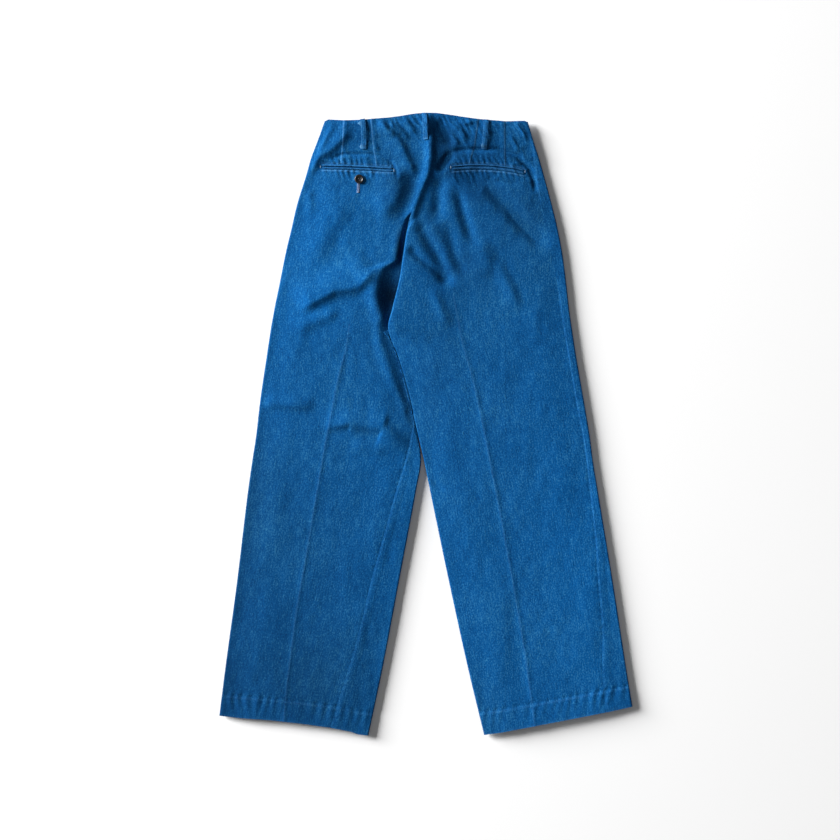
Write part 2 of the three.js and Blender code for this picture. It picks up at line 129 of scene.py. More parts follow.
# Creases and folds. Each line follows the side of the fold that lies in shade, under light from
# the left. near is the fold's width on the side of the light and past its width beyond, a height
# under 0 is a trough, and fade is the share of its length over which each end dies away. The
# right half's lap has its line along the top.
leftFolds = asTable(
    ("near", "past", "height", "fade", "line"),
    # Seat
    (11, 6, 2.4, 0.3, [(-142, 500), (-154, 482), (-164, 466), (-176, 448)]),
    (16, 8, 4.6, 0.3, [(-116, 502), (-127, 477), (-147, 455), (-172, 440), (-188, 418), (-196, 392)]),
    (8, 6, 1.2, 0.3, [(-190, 394), (-186, 365), (-184, 338)]),
    (16, 7, 4.6, 0.2, [(-80, 502), (-60, 486), (-44, 472), (-34, 454), (-26, 436), (-18, 418),
     (-12, 400)]),
    (26, 17, 7, 0.3, [(-48, 430), (-40, 406), (-35, 388), (-43, 366), (-57, 350), (-74, 334)]),
    (26, 18, 2.6, 0.3, [(-110, 384), (-134, 343), (-165, 285), (-186, 244)]),
    (34, 10, 6.5, 0.2, [(-72, 262), (-86, 248), (-104, 226), (-143, 220), (-172, 204), (-208, 185)]),
    (6, 2.6, 2.6, 0.3, [(-77, 500), (-62, 488), (-46, 474)]),
    (6, 2.6, 2.8, 0.3, [(-61, 500), (-37, 481), (-22, 467)]),
    (5, 2.4, 2.2, 0.3, [(-38, 503), (-25, 492), (-13, 480)]),
    (5, 2.4, 1.6, 0.3, [(-100, 470), (-88, 460), (-72, 452)]),
    (12, 8, 1.6, 0.3, [(-222, 268), (-245, 197)]),
    (16, 11, 2.6, 0.3, [(-130, 190), (-165, 173), (-214, 153)]),
    # Leg
    (22, 7, 5, 0.3, [(-176, -8), (-121, 1), (-65, -7), (-18, -42)]),
    (15, 6, 3.2, 0.3, [(-276, 33), (-224, 31), (-177, 27)]),
    (12, 8, 1.8, 0.3, [(-121, -31), (-55, -49)]),
    (7, 5, -3.5, 0, [(-37, 62), (-31, 44)]),
    (6, 5, -3.5, 0, [(-28, 22), (-23, 8)]),
)
rightFolds = asTable(
    ("near", "past", "height", "fade", "line"),
    (9, 6.5, 4.2, 0.08, [(8, 516), (13, 468), (13, 437), (7, 410), (-4, 383), (-14, 356), (-20, 328)]),
    (11, 6, -4.6, 0.3, [(13, 509), (24, 490), (31, 474), (33, 458)]),
    (7, 6, -6.4, 0.3, [(44, 453), (32, 440), (24, 428), (12, 417)]),
    (12, 10, -4.8, 0.3, [(17, 420), (13, 388), (13, 357), (21, 334)]),
    (9, 9, -4.2, 0.3, [(44, 400), (50, 375), (58, 345), (67, 318), (76, 294)]),
    (3.6, 3.6, -3.4, 0.1, [(36, 451), (60, 454), (90, 455), (117, 455), (148, 444), (169, 425),
     (177, 402), (179, 380)]),
    (12, 17, -5, 0.2, [(36, 420), (62, 412), (92, 401), (118, 371), (156, 330), (200, 290)]),
    (5, 5, -1.4, 0.3, [(92, 408), (125, 401), (160, 397)]),
    (11, 10, -5, 0.16, [(-22, 340), (-8, 318), (0, 302), (14, 276), (27, 249), (36, 226)]),
    (7, 7, -3.4, 0.16, [(-34, 296), (-14, 276), (5, 262), (20, 248), (34, 234)]),
    (10, 10, -2.6, 0.3, [(26, 342), (34, 310), (42, 280), (64, 236)]),
    (20, 14, 3, 0.3, [(94, 306), (110, 270), (112, 234)]),
    (12, 9, 2.6, 0.3, [(122, 272), (140, 232), (162, 182)]),
    (9, 8, 1.8, 0.3, [(12, 228), (30, 190), (46, 156)]),
    (6, 2.6, 2.6, 0.3, [(44, 494), (60, 484), (72, 466)]),
    (4, 2.4, 1.9, 0.3, [(52, 501), (68, 496), (86, 499)]),
    (5, 2.4, 2.1, 0.3, [(40, 478), (52, 468), (58, 458)]),
    (5, 2.4, 1.5, 0.3, [(140, 478), (150, 462), (158, 448)]),
    (8, 5, 2, 0.3, [(148, 499), (162, 485), (173, 468)]),
    (4, 4, -1.2, 0.3, [(7, -92), (29, -108)]),
)
# The rounded front of the right half's lap over the seat
lapRoll = {
    "near": 16, "past": 70, "height": 4.5, "fade": 0.16, "crest": True,
    "line": [(-16, 356), (-27, 300), (-33, 245), (-50, 178), (-54, 130)],
}
folds = {"left": leftFolds, "right": rightFolds + [lapRoll]}

# Thin lines that the cloth is marked by: its sewn darts, pressed creases and side seams. Each is
# drawn from the distance to it, which every point of a panel keeps. raised is the side of a dart
# where its cloth lies folded, + or - in x, and 0 for a crease.
markNames = ("dartOne", "dartTwo", "crease", "sideSeam")
markLines = {
    "left": [
        {"mark": "dartOne", "raised": 1, "line": [(-135.5, 506), (-137, 465), (-140.5, 430)]},
        {"mark": "dartTwo", "raised": 1, "line": [(-91, 508), (-87, 462), (-81.5, 427)]},
        {"mark": "crease", "raised": 0, "line": [
            (-125, 165), (-131, 123), (-143, 82), (-168, -47), (-190, -177), (-213, -309),
            (-228, -427), (-236, -520),
        ]},
    ],
    "right": [
        {"mark": "dartOne", "raised": -1, "line": [(88.5, 508), (82, 462), (72, 427)]},
        {"mark": "dartTwo", "raised": -1, "line": [(131, 506), (131.5, 465), (132, 426)]},
        {"mark": "crease", "raised": 0, "line": [
            (46, 215), (62, 131), (78, 77), (92, 14), (106, -57), (119, -123), (144, -257),
            (164, -375), (184, -520),
        ]},
    ],
}

# Each pocket's slot and the widths of its parts, and the edge of the left one's bag, which shows
# as a groove in the cloth over it
pockets = {
    "left": {"line": [(-170.5, 425.4), (-112, 423.8), (-55.5, 420.3)],
             "upper": 2.9, "slot": 1.9, "lower": 2.9},
    "right": {"line": [(44.5, 423.8), (103, 425.8), (162, 417.6)],
              "upper": 2.3, "slot": 1.7, "lower": 4.3},
}
bagEdge = [(-158, 438), (-134, 446), (-94, 446), (-75, 443), (-58, 435), (-49, 420), (-46, 400)]


def mix(a, b, share):
    return a + (b - a) * share


def smooth(value, low, high):
    share = np.clip((value - low) / (high - low), 0, 1)
    return share * share * (3 - 2 * share)


# A hump of height 1 at middle, which dies away over about wide on each side.
def bell(value, middle, wide):
    return np.exp(-(((value - middle) / wide) ** 2))


# A column of a table at the heights y, by a smooth curve through its rows.
def tableValue(table, column, y):
    at = np.array([row["y"] for row in table], float)[::-1]
    value = np.array([row[column] for row in table], float)[::-1]
    slopes = np.diff(value) / np.diff(at)
    ends = np.concatenate([slopes[:1], (slopes[1:] + slopes[:-1]) / 2, slopes[-1:]])
    y = np.clip(np.asarray(y, float), at[0], at[-1])
    i = np.clip(np.searchsorted(at, y) - 1, 0, len(at) - 2)
    gap = at[i + 1] - at[i]
    t = (y - at[i]) / gap
    return (
        (2 * t**3 - 3 * t**2 + 1) * value[i]
        + (t**3 - 2 * t**2 + t) * gap * ends[i]
        + (3 * t**2 - 2 * t**3) * value[i + 1]
        + (t**3 - t**2) * gap * ends[i + 1]
    )


# A column of a table at places in its column key, by straight lines between its rows.
def straightValue(table, column, key, at):
    rows = sorted(table, key=lambda row: row[key])
    return np.interp(at, [row[key] for row in rows], [row[column] for row in rows])


# Where a line down the cloth lies at the heights y.
def lineX(line, y):
    return straightValue([{"x": px, "y": py} for px, py in line], "x", "y", y)


noiseGrid = (61, 67)  # lumps across and along before the unevenness repeats
noiseShift = 500  # lumps, which keeps every place on the grid above 0


# Smooth unevenness between -1 and 1, in lumps about cell millimetres apart.
def softNoise(x, y, cell, seed):
    lattice = np.random.default_rng(seed).uniform(-1, 1, noiseGrid)
    gx = np.asarray(x) / cell + noiseShift
    gy = np.asarray(y) / cell + noiseShift
    ix = np.floor(gx).astype(int)
    iy = np.floor(gy).astype(int)
    fx = smooth(gx - ix, 0, 1)
    fy = smooth(gy - iy, 0, 1)

    def corner(i, j):
        return lattice[(ix + i) % noiseGrid[0], (iy + j) % noiseGrid[1]]

    return mix(mix(corner(0, 0), corner(1, 0), fx), mix(corner(0, 1), corner(1, 1), fx), fy)


# The way that the light travels over the cloth
lightWay = (0.93, -0.37)


# Distance to a line, how far the point lies on the side away from the light, and the share of
# the line's length.
def lineFrame(line, x, y):
    points = np.array(line, float)
    lengths = np.hypot(*np.diff(points, axis=0).T)
    total = lengths.sum()
    nearest = np.full(np.shape(x), np.inf)
    shaded = np.zeros(np.shape(x))
    along = np.zeros(np.shape(x))
    done = 0.0
    for (ax, ay), (bx, by), length in zip(points[:-1], points[1:], lengths):
        t = np.clip(((x - ax) * (bx - ax) + (y - ay) * (by - ay)) / length**2, 0, 1)
        dx = x - mix(ax, bx, t)
        dy = y - mix(ay, by, t)
        far = np.hypot(dx, dy)
        closer = far < nearest
        nearest = np.where(closer, far, nearest)
        shaded = np.where(closer, dx * lightWay[0] + dy * lightWay[1], shaded)
        along = np.where(closer, (done + t * length) / total, along)
        done += length
    return nearest, shaded, along


steepest = 0.7  # of a fold's width: how far its steepest slope lies from its top or bottom


def foldHeight(fold, x, y):
    if "crest" in fold:
        toShade = 0
    elif fold["height"] > 0:
        toShade = steepest * fold["past"]
    else:
        toShade = -steepest * fold["near"]
    far, shaded, along = lineFrame(fold["line"], x + toShade * lightWay[0], y + toShade * lightWay[1])
    fade = fold["fade"]
    ends = 1.0 if fade == 0 else smooth(along, 0, fade) * smooth(1 - along, 0, fade)
    # The two widths meet smoothly over the crest
    width = mix(fold["near"], fold["past"], smooth(shaded / (far + 0.5), -0.6, 0.6))
    return fold["height"] * ends * bell(far, 0, width)


# Shares of the three stretches that the halves have: separate legs, the seat where the right half
# laps over the left, and the sewn centre back above it.
def zones(y):
    leg = 1 - smooth(y, cut["crotchY"] - 22, cut["crotchY"] + 12)
    seam = smooth(y, 318, 358)
    return leg, 1 - leg - seam, seam


def bottomHeight(y):
    return cut["frontLift"] * smooth(y, cut["liftFrom"], cut["liftTo"])


# Distances of a point in from a half's outer and inner edges.
def fromEdges(side, x, y):
    fromOuter = outward[side] * (tableValue(outline, side + "Outer", y) - x)
    fromInner = outward[side] * (x - tableValue(outline, side + "Inner", y))
    return fromOuter, fromInner


# Short wrinkles where stitching draws the cloth in, one each pitch. They die away at a distance
# far from the stitching.
def pucker(along, pitch, seed, far=0.0, reach=1.0):
    drift = 2.6 * softNoise(along, far * 0.4, 34, seed)
    strength = 0.6 + 0.4 * softNoise(along, far * 0, 23, seed + 1)
    return strength * np.sin(2 * math.pi * along / pitch + drift) * bell(far, 0, reach)


puckerSeeds = {
    "left": {"seam": 21, "hem": 61, "pocket": 81},
    "right": {"seam": 31, "hem": 71, "pocket": 91},
    "both": {"centreBack": 41, "waist": 51},
}


# A point t of the way along a gentle bend through three points, and the direction there.
def onBend(line, t):
    a, b, c = (np.array(p, float) for p in line)
    pull = 2 * b - (a + c) / 2
    t = np.asarray(t, float)[..., None]
    place = a * (1 - t) ** 2 + pull * 2 * t * (1 - t) + c * t**2
    way = 2 * (1 - t) * (pull - a) + 2 * t * (c - pull)
    return place, way / np.linalg.norm(way, axis=-1, keepdims=True)


# Signed distance above a pocket's slot and distance past its ends, and the outer edges of its
# welts above and below the slot.
def pocketFrame(side, x, y):
    pocket = pockets[side]
    a, _, c = pocket["line"]
    share = np.clip((x - a[0]) / (c[0] - a[0]), 0, 1)
    slotY = onBend(pocket["line"], share)[0][..., 1]
    past = np.maximum(np.maximum(a[0] - x, x - c[0]), 0)
    return y - slotY, past, pocket["slot"] / 2 + pocket["upper"], pocket["slot"] / 2 + pocket["lower"]


# Grooves along the slot and the welts' outer edges, a ridge under them, and wrinkles further out.
def pocketRelief(side, x, y):
    above, past, top, low = pocketFrame(side, x, y)
    live = bell(past, 0, 2.2)
    grooves = [
        {"deep": 1.3, "at": 0, "wide": 0.9 * pockets[side]["slot"]},
        {"deep": 0.5, "at": top + 0.7, "wide": 1.1},
        {"deep": 0.5, "at": -low - 0.7, "wide": 1.1},
        {"deep": -0.35, "at": -low - 3, "wide": 1.8},
    ]
    relief = np.zeros(np.shape(x))
    for groove in grooves:
        relief -= groove["deep"] * live * bell(above, groove["at"], groove["wide"])
    # A dent past each end, where the tack holds the cloth down
    relief -= 0.9 * bell(past, 2.2, 1.5) * bell(above, 0, 3.4) * (past > 0)
    outer = np.where(above > 0, above - top, -above - low)
    drawn = smooth(outer, 0, 2) * bell(outer, 0, 13) * live
    slant = x + 0.35 * above + 4 * softNoise(x, y, 17, 16)
    return relief + 0.9 * drawn * pucker(slant, 9.5, puckerSeeds[side]["pocket"])


dart = {"fold": 7, "high": 0.55, "thins": 0.75, "top": 505, "long": 78, "from": 424, "to": 434}


# The cloth folded under beside each dart.
def dartRelief(side, x, y):
    relief = np.zeros(x.shape)
    for line in markLines[side]:
        if line["raised"]:
            beside = (x - lineX(line["line"], y)) * line["raised"] / dart["fold"]
            high = dart["high"] * (1 - dart["thins"] * (dart["top"] - y) / dart["long"])
            ridge = smooth(beside, -0.1, 0.3) * (1 - smooth(beside, 0.8, 1.25))
            relief += high * smooth(y, dart["from"], dart["to"]) * ridge
    return relief


# Distance past the seam that runs down the upper side, and how much of it is there.
def sideSeam(side, y, fromOuter, fromInner):
    if side == "left":
        return fromInner - tableValue(seams, "leftInseam", y), 1 - smooth(y, 100, 165)
    live = 1 - 0.7 * smooth(y, 210, 260) * (1 - smooth(y, 330, 380))
    return fromOuter - tableValue(seams, "rightOutseam", y), live


sideSeamSewing = {
    "groove": 0.16, "grooveWide": 1.8, "left": 0.26, "right": 0.2, "pucker": 0.34, "pitch": 11, "reach": 6,
}
centreBackSewing = {"pucker": 0.22, "pitch": 12, "reach": 8}


# A groove at the side seam or inseam, the seam allowance beside it, and the centre back seam.
def seamRelief(side, y, fromOuter, fromInner):
    sewing = sideSeamSewing
    across, live = sideSeam(side, y, fromOuter, fromInner)
    allowance = smooth(-across, 0.8, 2.5) * (1 - smooth(-across, 9, 15))
    puckered = pucker(y, sewing["pitch"], puckerSeeds[side]["seam"], across, sewing["reach"])
    relief = sewing[side] * allowance - sewing["groove"] * bell(across, 0, sewing["grooveWide"])
    relief = live * (relief + sewing["pucker"] * puckered)
    sewing = centreBackSewing
    puckered = pucker(y, sewing["pitch"], puckerSeeds["both"]["centreBack"], fromInner, sewing["reach"])
    return relief + sewing["pucker"] * smooth(y, 330, 370) * puckered


waistSewing = {
    "facing": 0.35, "stitchAt": 2.6, "stitchWide": 1.1, "stitch": 0.3, "edge": 0.5, "edgeReach": 1.5,
    "gather": 1.2, "pitch": 11, "middleReach": 62,
}
hemSewing = {
    "turned": 0.5, "stitch": 0.7, "stitchWide": 1.9,
    "gather": 0.66, "pitch": 15, "hemReach": 22, "legReach": 7,
}


# The facing inside the waist edge and the turned hem, each with its row of stitching drawn in.
def edgeRelief(side, x, y, share):
    fromWaist = share * cutLength
    facing = cloth["facingDepth"]
    sewing = waistSewing
    relief = sewing["facing"] * (1 - smooth(fromWaist, facing - 2, facing + 3))
    relief -= sewing["stitch"] * bell(fromWaist, sewing["stitchAt"], sewing["stitchWide"])
    relief -= sewing["edge"] * np.exp(-fromWaist / sewing["edgeReach"])
    slant = x - 0.6 * fromWaist + 6 * softNoise(x, y, 20, 17)
    drawn = bell(fromWaist, facing * 0.5, facing * 0.42) * (0.25 + 0.75 * bell(x, 0, sewing["middleReach"]))
    relief += sewing["gather"] * drawn * pucker(slant, sewing["pitch"], puckerSeeds["both"]["waist"])
    fromHem = (1 - share) * cutLength
    depth = cloth["hemDepth"]
    sewing = hemSewing
    relief += sewing["turned"] * (1 - smooth(fromHem, depth - 1, depth + 3))
    relief -= sewing["stitch"] * bell(fromHem, depth + 0.6, sewing["stitchWide"])
    slant = x - 0.15 * fromHem + 5 * softNoise(x, y, 30, 18)
    drawn = bell(fromHem, depth, np.where(fromHem < depth, sewing["hemReach"], sewing["legReach"]))
    relief += sewing["gather"] * drawn * pucker(slant, sewing["pitch"], puckerSeeds[side]["hem"])
    return relief


# What the sewing does to the surface. bare leaves out the pockets.
def sewnRelief(side, x, y, share, fromOuter, fromInner, bare):
    relief = dartRelief(side, x, y) + edgeRelief(side, x, y, share)
    relief += seamRelief(side, y, fromOuter, fromInner)
    if side == "left":
        far, _, along = lineFrame(bagEdge, x, y)
        relief -= 2.1 * bell(far, 0, 2.9) * smooth(along, 0, 0.1) * smooth(1 - along, 0, 0.1)
    if not bare:
        relief += pocketRelief(side, x, y)
    return relief


# The cloth's own unevenness: long lumps everywhere, crumples and thin ridges that grow between
# two heights, and the pressed crease of each leg.
lumps = [
    {"high": 0.55, "cell": 31, "squeeze": 0.5, "seed": 5},
    {"high": 0.28, "cell": 12, "squeeze": 0.6, "seed": 6},
]
crumple = {"high": 0.04, "more": 0.2, "from": 330, "to": 400, "slant": 0.3, "cell": 8, "seed": 9}
ridges = {"high": 0.1, "more": 0.6, "from": 340, "to": 430, "slant": 0.45, "cell": 21, "seed": 14}
ridgeWide = 0.24  # of the unevenness that the ridges follow
pressed = {"high": 1.2, "reach": 3.2, "uneven": 0.25, "cell": 60, "seed": 8}


def clothRelief(side, x, y):
    relief = np.zeros(x.shape)
    for lump in lumps:
        relief += lump["high"] * softNoise(x, y * lump["squeeze"], lump["cell"], lump["seed"])
    high = crumple["high"] + crumple["more"] * smooth(y, crumple["from"], crumple["to"])
    relief += high * softNoise(x + crumple["slant"] * y, y, crumple["cell"], crumple["seed"])
    noise = softNoise(x * 0.8 + ridges["slant"] * y, y * 0.7, ridges["cell"], ridges["seed"])
    high = ridges["high"] + ridges["more"] * smooth(y, ridges["from"], ridges["to"])
    relief += high * np.maximum(0, 1 - np.abs(noise) / ridgeWide) ** 1.5
    for line in markLines[side]:
        if line["mark"] == "crease":
            far, _, along = lineFrame(line["line"], x, y)
            uneven = pressed["uneven"] * (softNoise(x, y, pressed["cell"], pressed["seed"]) - 1)
            high = pressed["high"] * (1 + uneven) * smooth(along, 0, 0.12)
            relief += high * np.exp(-far / pressed["reach"])
    return relief


# Beside the right half, the left half rises and then dips under it.
def tuckUnder(height, floor, y, fromInner):
    wide = straightValue(tuck, "wide", "y", y)
    rise = straightValue(tuck, "rise", "y", y)
    beside = smooth(y, -50, -20) * (1 - smooth(y, 338, 352))
    height = height + rise * bell(fromInner, wide + 3, 0.4 * wide + 3)
    along = np.clip(fromInner / wide, 0, 1)
    dip = mix(1 - (1 - along) ** 2, smooth(along, 0.15, 1), smooth(y, 165, 190))
    return mix(height, mix(floor + 0.3, height, dip), beside)


# Height of the upper layer's outer face. share is the place down the length, 0 at the waist.
def topHeight(side, x, y, share, bare=False):
    x = np.asarray(x, float)
    y = np.asarray(y, float)
    share = np.broadcast_to(share, x.shape)
    fromOuter, fromInner = fromEdges(side, x, y)
    leg, _, seam = zones(y)
    radius = cloth["foldRadius"]

    # Rises from the outer edge, and on a leg from the inner edge too
    def rise(start, end):
        return smooth(fromOuter, start, end) * mix(1, smooth(fromInner, start, end), leg)

    relief = clothRelief(side, x, y)
    for half, rows in folds.items():
        for fold in rows:
            relief += foldHeight(fold, x, y) * (1 if half == side else seam)
    height = 2 * radius + cloth["loft"] * rise(radius / 2, cloth["loftReach"]) + 0.6 * bottomHeight(y)
    height += relief * rise(0, 14)
    height += sewnRelief(side, x, y, share, fromOuter, fromInner, bare) * smooth(fromOuter, 0, 4)
    floor = bottomHeight(y) + 2 * cloth["thick"] + cloth["layerGap"]
    if side == "left":
        height = tuckUnder(height, floor, y, fromInner)
    return np.maximum(height, floor)


noLine = 60.0  # mm, the distance kept by a point with no line near it


# Moves a signed distance out towards noLine on its own side, where the line fades out.
def awayFrom(distance, share):
    distance = np.clip(distance, -noLine, noLine)
    return np.where(distance < 0, -1, 1) * mix(np.abs(distance), noLine, share)


def markDistances(side, x, y):
    marks = {}
    for line in markLines[side]:
        across = (x - lineX(line["line"], y)) * (line["raised"] or 1)
        ends = np.maximum(np.maximum(y - line["line"][0][1], line["line"][-1][1] - y), 0)
        marks[line["mark"]] = awayFrom(across, smooth(ends, 0, 5))
    across, live = sideSeam(side, y, *fromEdges(side, x, y))
    marks["sideSeam"] = awayFrom(-across, 1 - live)
    return marks


# Places where the cloth is darker, with a tone below 0, or paler. They are partly uneven dye and partly
# painted shade and painted light: painted shade in the hollow beside the right half's lap and along its
# edge, and painted light on the left leg's inner fold, which faces away from the light.
leftDyeAndPaintedShade = asTable(
    ("at", "reach", "tone"),
    ((-26, 387), (14, 24), -0.34), ((-54, 402), (24, 44), -0.4), ((-70, 482), (74, 36), -0.18),
    ((-145, 285), (80, 95), 0.2), ((-178, 186), (44, 32), 0.22), ((-43, 288), (8, 40), -0.75),
    ((-56, 212), (24, 38), -0.88), ((-28, 60), (18, 76), -0.42), ((-62, -10), (22, 90), 0.12),
    ((-26, -95), (17, 70), 0.24), ((-62, -320), (26, 190), 0.12), ((-210, -200), (100, 170), -0.18),
    ((-282, -80), (36, 120), -0.26), ((-312, -230), (36, 130), -0.36), ((-342, -430), (40, 130), -0.46),
    ((-205, -450), (130, 140), -0.4),
)
rightDyeAndPaintedShade = asTable(
    ("at", "reach", "tone"),
    ((31, 462), (28, 34), -0.5), ((42, 420), (18, 15), -0.34), ((6, 386), (14, 20), 0.24),
    ((8, 320), (16, 24), -0.22), ((95, 440), (80, 48), -0.24), ((96, 384), (34, 24), -0.26),
    ((168, 350), (46, 44), -0.27), ((90, 300), (100, 115), -0.16), ((56, 262), (36, 28), -0.22),
    ((44, 130), (26, 70), -0.14), ((6, 60), (16, 90), -0.17), ((272, -200), (76, 260), 0.28),
    ((92, -500), (40, 80), -0.18),
)
dyeAndPaintedShade = {"left": leftDyeAndPaintedShade, "right": rightDyeAndPaintedShade}
paintedShadeOnLitFolds = 0.4  # painted shade: how much darker the edge folds that face the light are made


# The tone at a point: uneven dye, painted shade and painted light from the patches above, multiplied
# together.
def toneAt(side, x, y):
    tone = np.ones(np.shape(x))
    for place in dyeAndPaintedShade[side]:
        near = bell(x, place["at"][0], place["reach"][0]) * bell(y, place["at"][1], place["reach"][1])
        tone *= 1 + place["tone"] * near
    return tone


# Where rubbing has worn the cloth pale: the hem's edge, its stitching and beside the pockets.
def wornAt(side, x, y, share):
    fromHem = (1 - share) * cutLength
    above, past, top, low = pocketFrame(side, x, y)
    live = bell(past, 0, 1.8)
    lines = [
        0.1 * bell(fromHem, 0, 2.5),
        (0.08 + 0.06 * softNoise(x, y, 19, 19)) * bell(fromHem, cloth["hemDepth"] - 1.8, 1.3),
        0.36 * live * bell(above, -low - 2.3, 0.9),
        0.2 * live * bell(above, top + 2, 0.9),
    ]
    return np.maximum.reduce(lines)


# The rows of one half, from the waist to the hem, as straight lines from inner to outer edge.
def sectionRows(side, share):
    innerY = mix(cut["waistCentre"], cut["hemInner"], share)
    outerY = mix(cut["waistSide"], cut["hem" + side.capitalize()], share)
    leg, lap, seam = zones(innerY)
    gap = mix(cloth["legGap"], cloth["seamGap"], seam)
    innerX = tableValue(outline, side + "Inner", innerY) + outward[side] * gap / 2
    outerX = tableValue(outline, side + "Outer", outerY)
    width = np.hypot(outerX - innerX, outerY - innerY)
    acrossX = (outerX - innerX) / width
    frontX = mix(0, cut["crotchX"], (cut["waistCentre"] - innerY) / (cut["waistCentre"] - cut["crotchY"]))
    radius = mix(cloth["foldRadius"], cloth["lapRadius"], lap)
    if side == "right":
        # The right leg's inner edge is rounder where it lies on the left leg
        radius = radius + 1.4 * leg * smooth(innerY, -60, 60)
    return {
        "side": side, "share": share, "innerX": innerX, "innerY": innerY, "width": width,
        "acrossX": acrossX, "acrossY": (outerY - innerY) / width,
        "leg": leg, "lap": lap, "seam": seam, "radius": radius,
        "centreFront": (frontX - innerX) / acrossX,
    }


def seamInset(rows, name):
    return tableValue(seams, name, rows["innerY"])


# Stops along a row: distance from the inner edge, turn round a fold, and which edge it bends at.
def level(start, end, count, turn, bend):
    share = np.linspace(0, 1, count + 1)
    along = np.asarray(start)[..., None] + (np.asarray(end) - np.asarray(start))[..., None] * share
    return along, np.full(along.shape, float(turn)), np.full(count + 1, bend)


# The same round a fold: the turn goes from start to end at one distance.
def arc(along, start, end, count, bend):
    turn = np.linspace(start, end, count + 1)
    along = np.broadcast_to(np.asarray(along)[..., None], (len(np.atleast_1d(along)), count + 1))
    return along, np.broadcast_to(turn, along.shape), np.full(count + 1, bend)


# Runs of stops one after another, each from the last stop of the one before.
def joinStops(*runs):
    kept = [runs[0]] + [(a[:, 1:], t[:, 1:], b[1:]) for a, t, b in runs[1:]]
    return (
        np.concatenate([r[0] for r in kept], axis=1),
        np.concatenate([r[1] for r in kept], axis=1),
        np.concatenate([r[2] for r in kept]),
    )


# One run of stops from several of equal count, each with its share in every row.
def blendStops(*weighted):
    along = sum(w[:, None] * run[0] for w, run in weighted)
    turn = sum(w[:, None] * run[1] for w, run in weighted)
    return along, turn, weighted[0][1][2]


# Columns of a panel's mesh in each stretch
mesh = {"top": 100, "arc": 8, "under": 5, "wideUnder": 26, "strip": 26}
halfTurn = math.pi
lapTurn = 0.62 * halfTurn  # how far the right half's edge curls under where it laps over the left
edgeBand = {"frontLeft": 30, "backRight": 22}  # mm of the seat that take the columns of a leg's fold


def backLeftStops(rows):
    start = smooth(rows["leg"], 0.95, 1) * (seamInset(rows, "leftInseam") + cloth["seamGap"] / 2)
    edge = rows["width"] - cloth["foldRadius"]
    return joinStops(
        level(start, edge, mesh["top"], 0, 1),
        arc(edge, 0, halfTurn, mesh["arc"], 1),
        level(edge, edge - seamInset(rows, "leftOutseam"), mesh["under"], halfTurn, 1),
    )


def frontLeftStops(rows):
    start = rows["width"] - cloth["foldRadius"] - seamInset(rows, "leftOutseam") - cloth["seamGap"]
    end = rows["centreFront"] + cloth["seamGap"] / 2
    fold = np.full(start.shape, cloth["foldRadius"])
    leg = joinStops(
        level(start, fold, mesh["wideUnder"], halfTurn, -1),
        arc(fold, halfTurn, 0, mesh["arc"], -1),
        level(fold, seamInset(rows, "leftInseam") - cloth["seamGap"] / 2, mesh["strip"], 0, -1),
    )
    seat = joinStops(
        level(start, end + edgeBand["frontLeft"], mesh["wideUnder"], halfTurn, -1),
        level(end + edgeBand["frontLeft"], end, mesh["arc"] + mesh["strip"], halfTurn, -1),
    )
    return blendStops((rows["leg"], leg), (1 - rows["leg"], seat))


def backRightStops(rows):
    end = rows["width"] - seamInset(rows, "rightOutseam") - cloth["seamGap"] / 2
    fold = np.full(end.shape, cloth["foldRadius"])
    leg = joinStops(
        level(fold + seamInset(rows, "rightInseam"), fold, mesh["under"], halfTurn, -1),
        arc(fold, halfTurn, 0, mesh["arc"], -1),
    )
    lap = arc(rows["radius"], lapTurn, 0, mesh["arc"] + mesh["under"], -1)
    flat = level(0 * end, 0 * end + edgeBand["backRight"], mesh["arc"] + mesh["under"], 0, -1)
    edge = blendStops((rows["leg"], leg), (rows["lap"], lap), (rows["seam"], flat))
    return joinStops(edge, level(edge[0][:, -1], end, mesh["top"], 0, -1))


def frontRightStops(rows):
    start = rows["width"] - seamInset(rows, "rightOutseam") + cloth["seamGap"] / 2
    edge = rows["width"] - cloth["foldRadius"]
    legEnd = cloth["foldRadius"] + seamInset(rows, "rightInseam") + cloth["seamGap"]
    end = mix(rows["centreFront"] + cloth["seamGap"] / 2, legEnd, smooth(rows["leg"], 0, 0.45))
    return joinStops(
        level(start, edge, mesh["strip"], 0, 1),
        arc(edge, 0, halfTurn, mesh["arc"], 1),
        level(edge, end, mesh["wideUnder"], halfTurn, 1),
    )


# Height of the under layer's outer face: flat but for a few soft creases.
def underHeight(x, y):
    creases = np.maximum(0, softNoise(x * 0.8, y * 0.3, 60, 15) - 0.25)
    return bottomHeight(y) + 1.1 * creases


waistEdgeReach = 70  # mm down from the waist over which its uneven edge evens out
hemEdgeReach = 110  # mm up from the hem


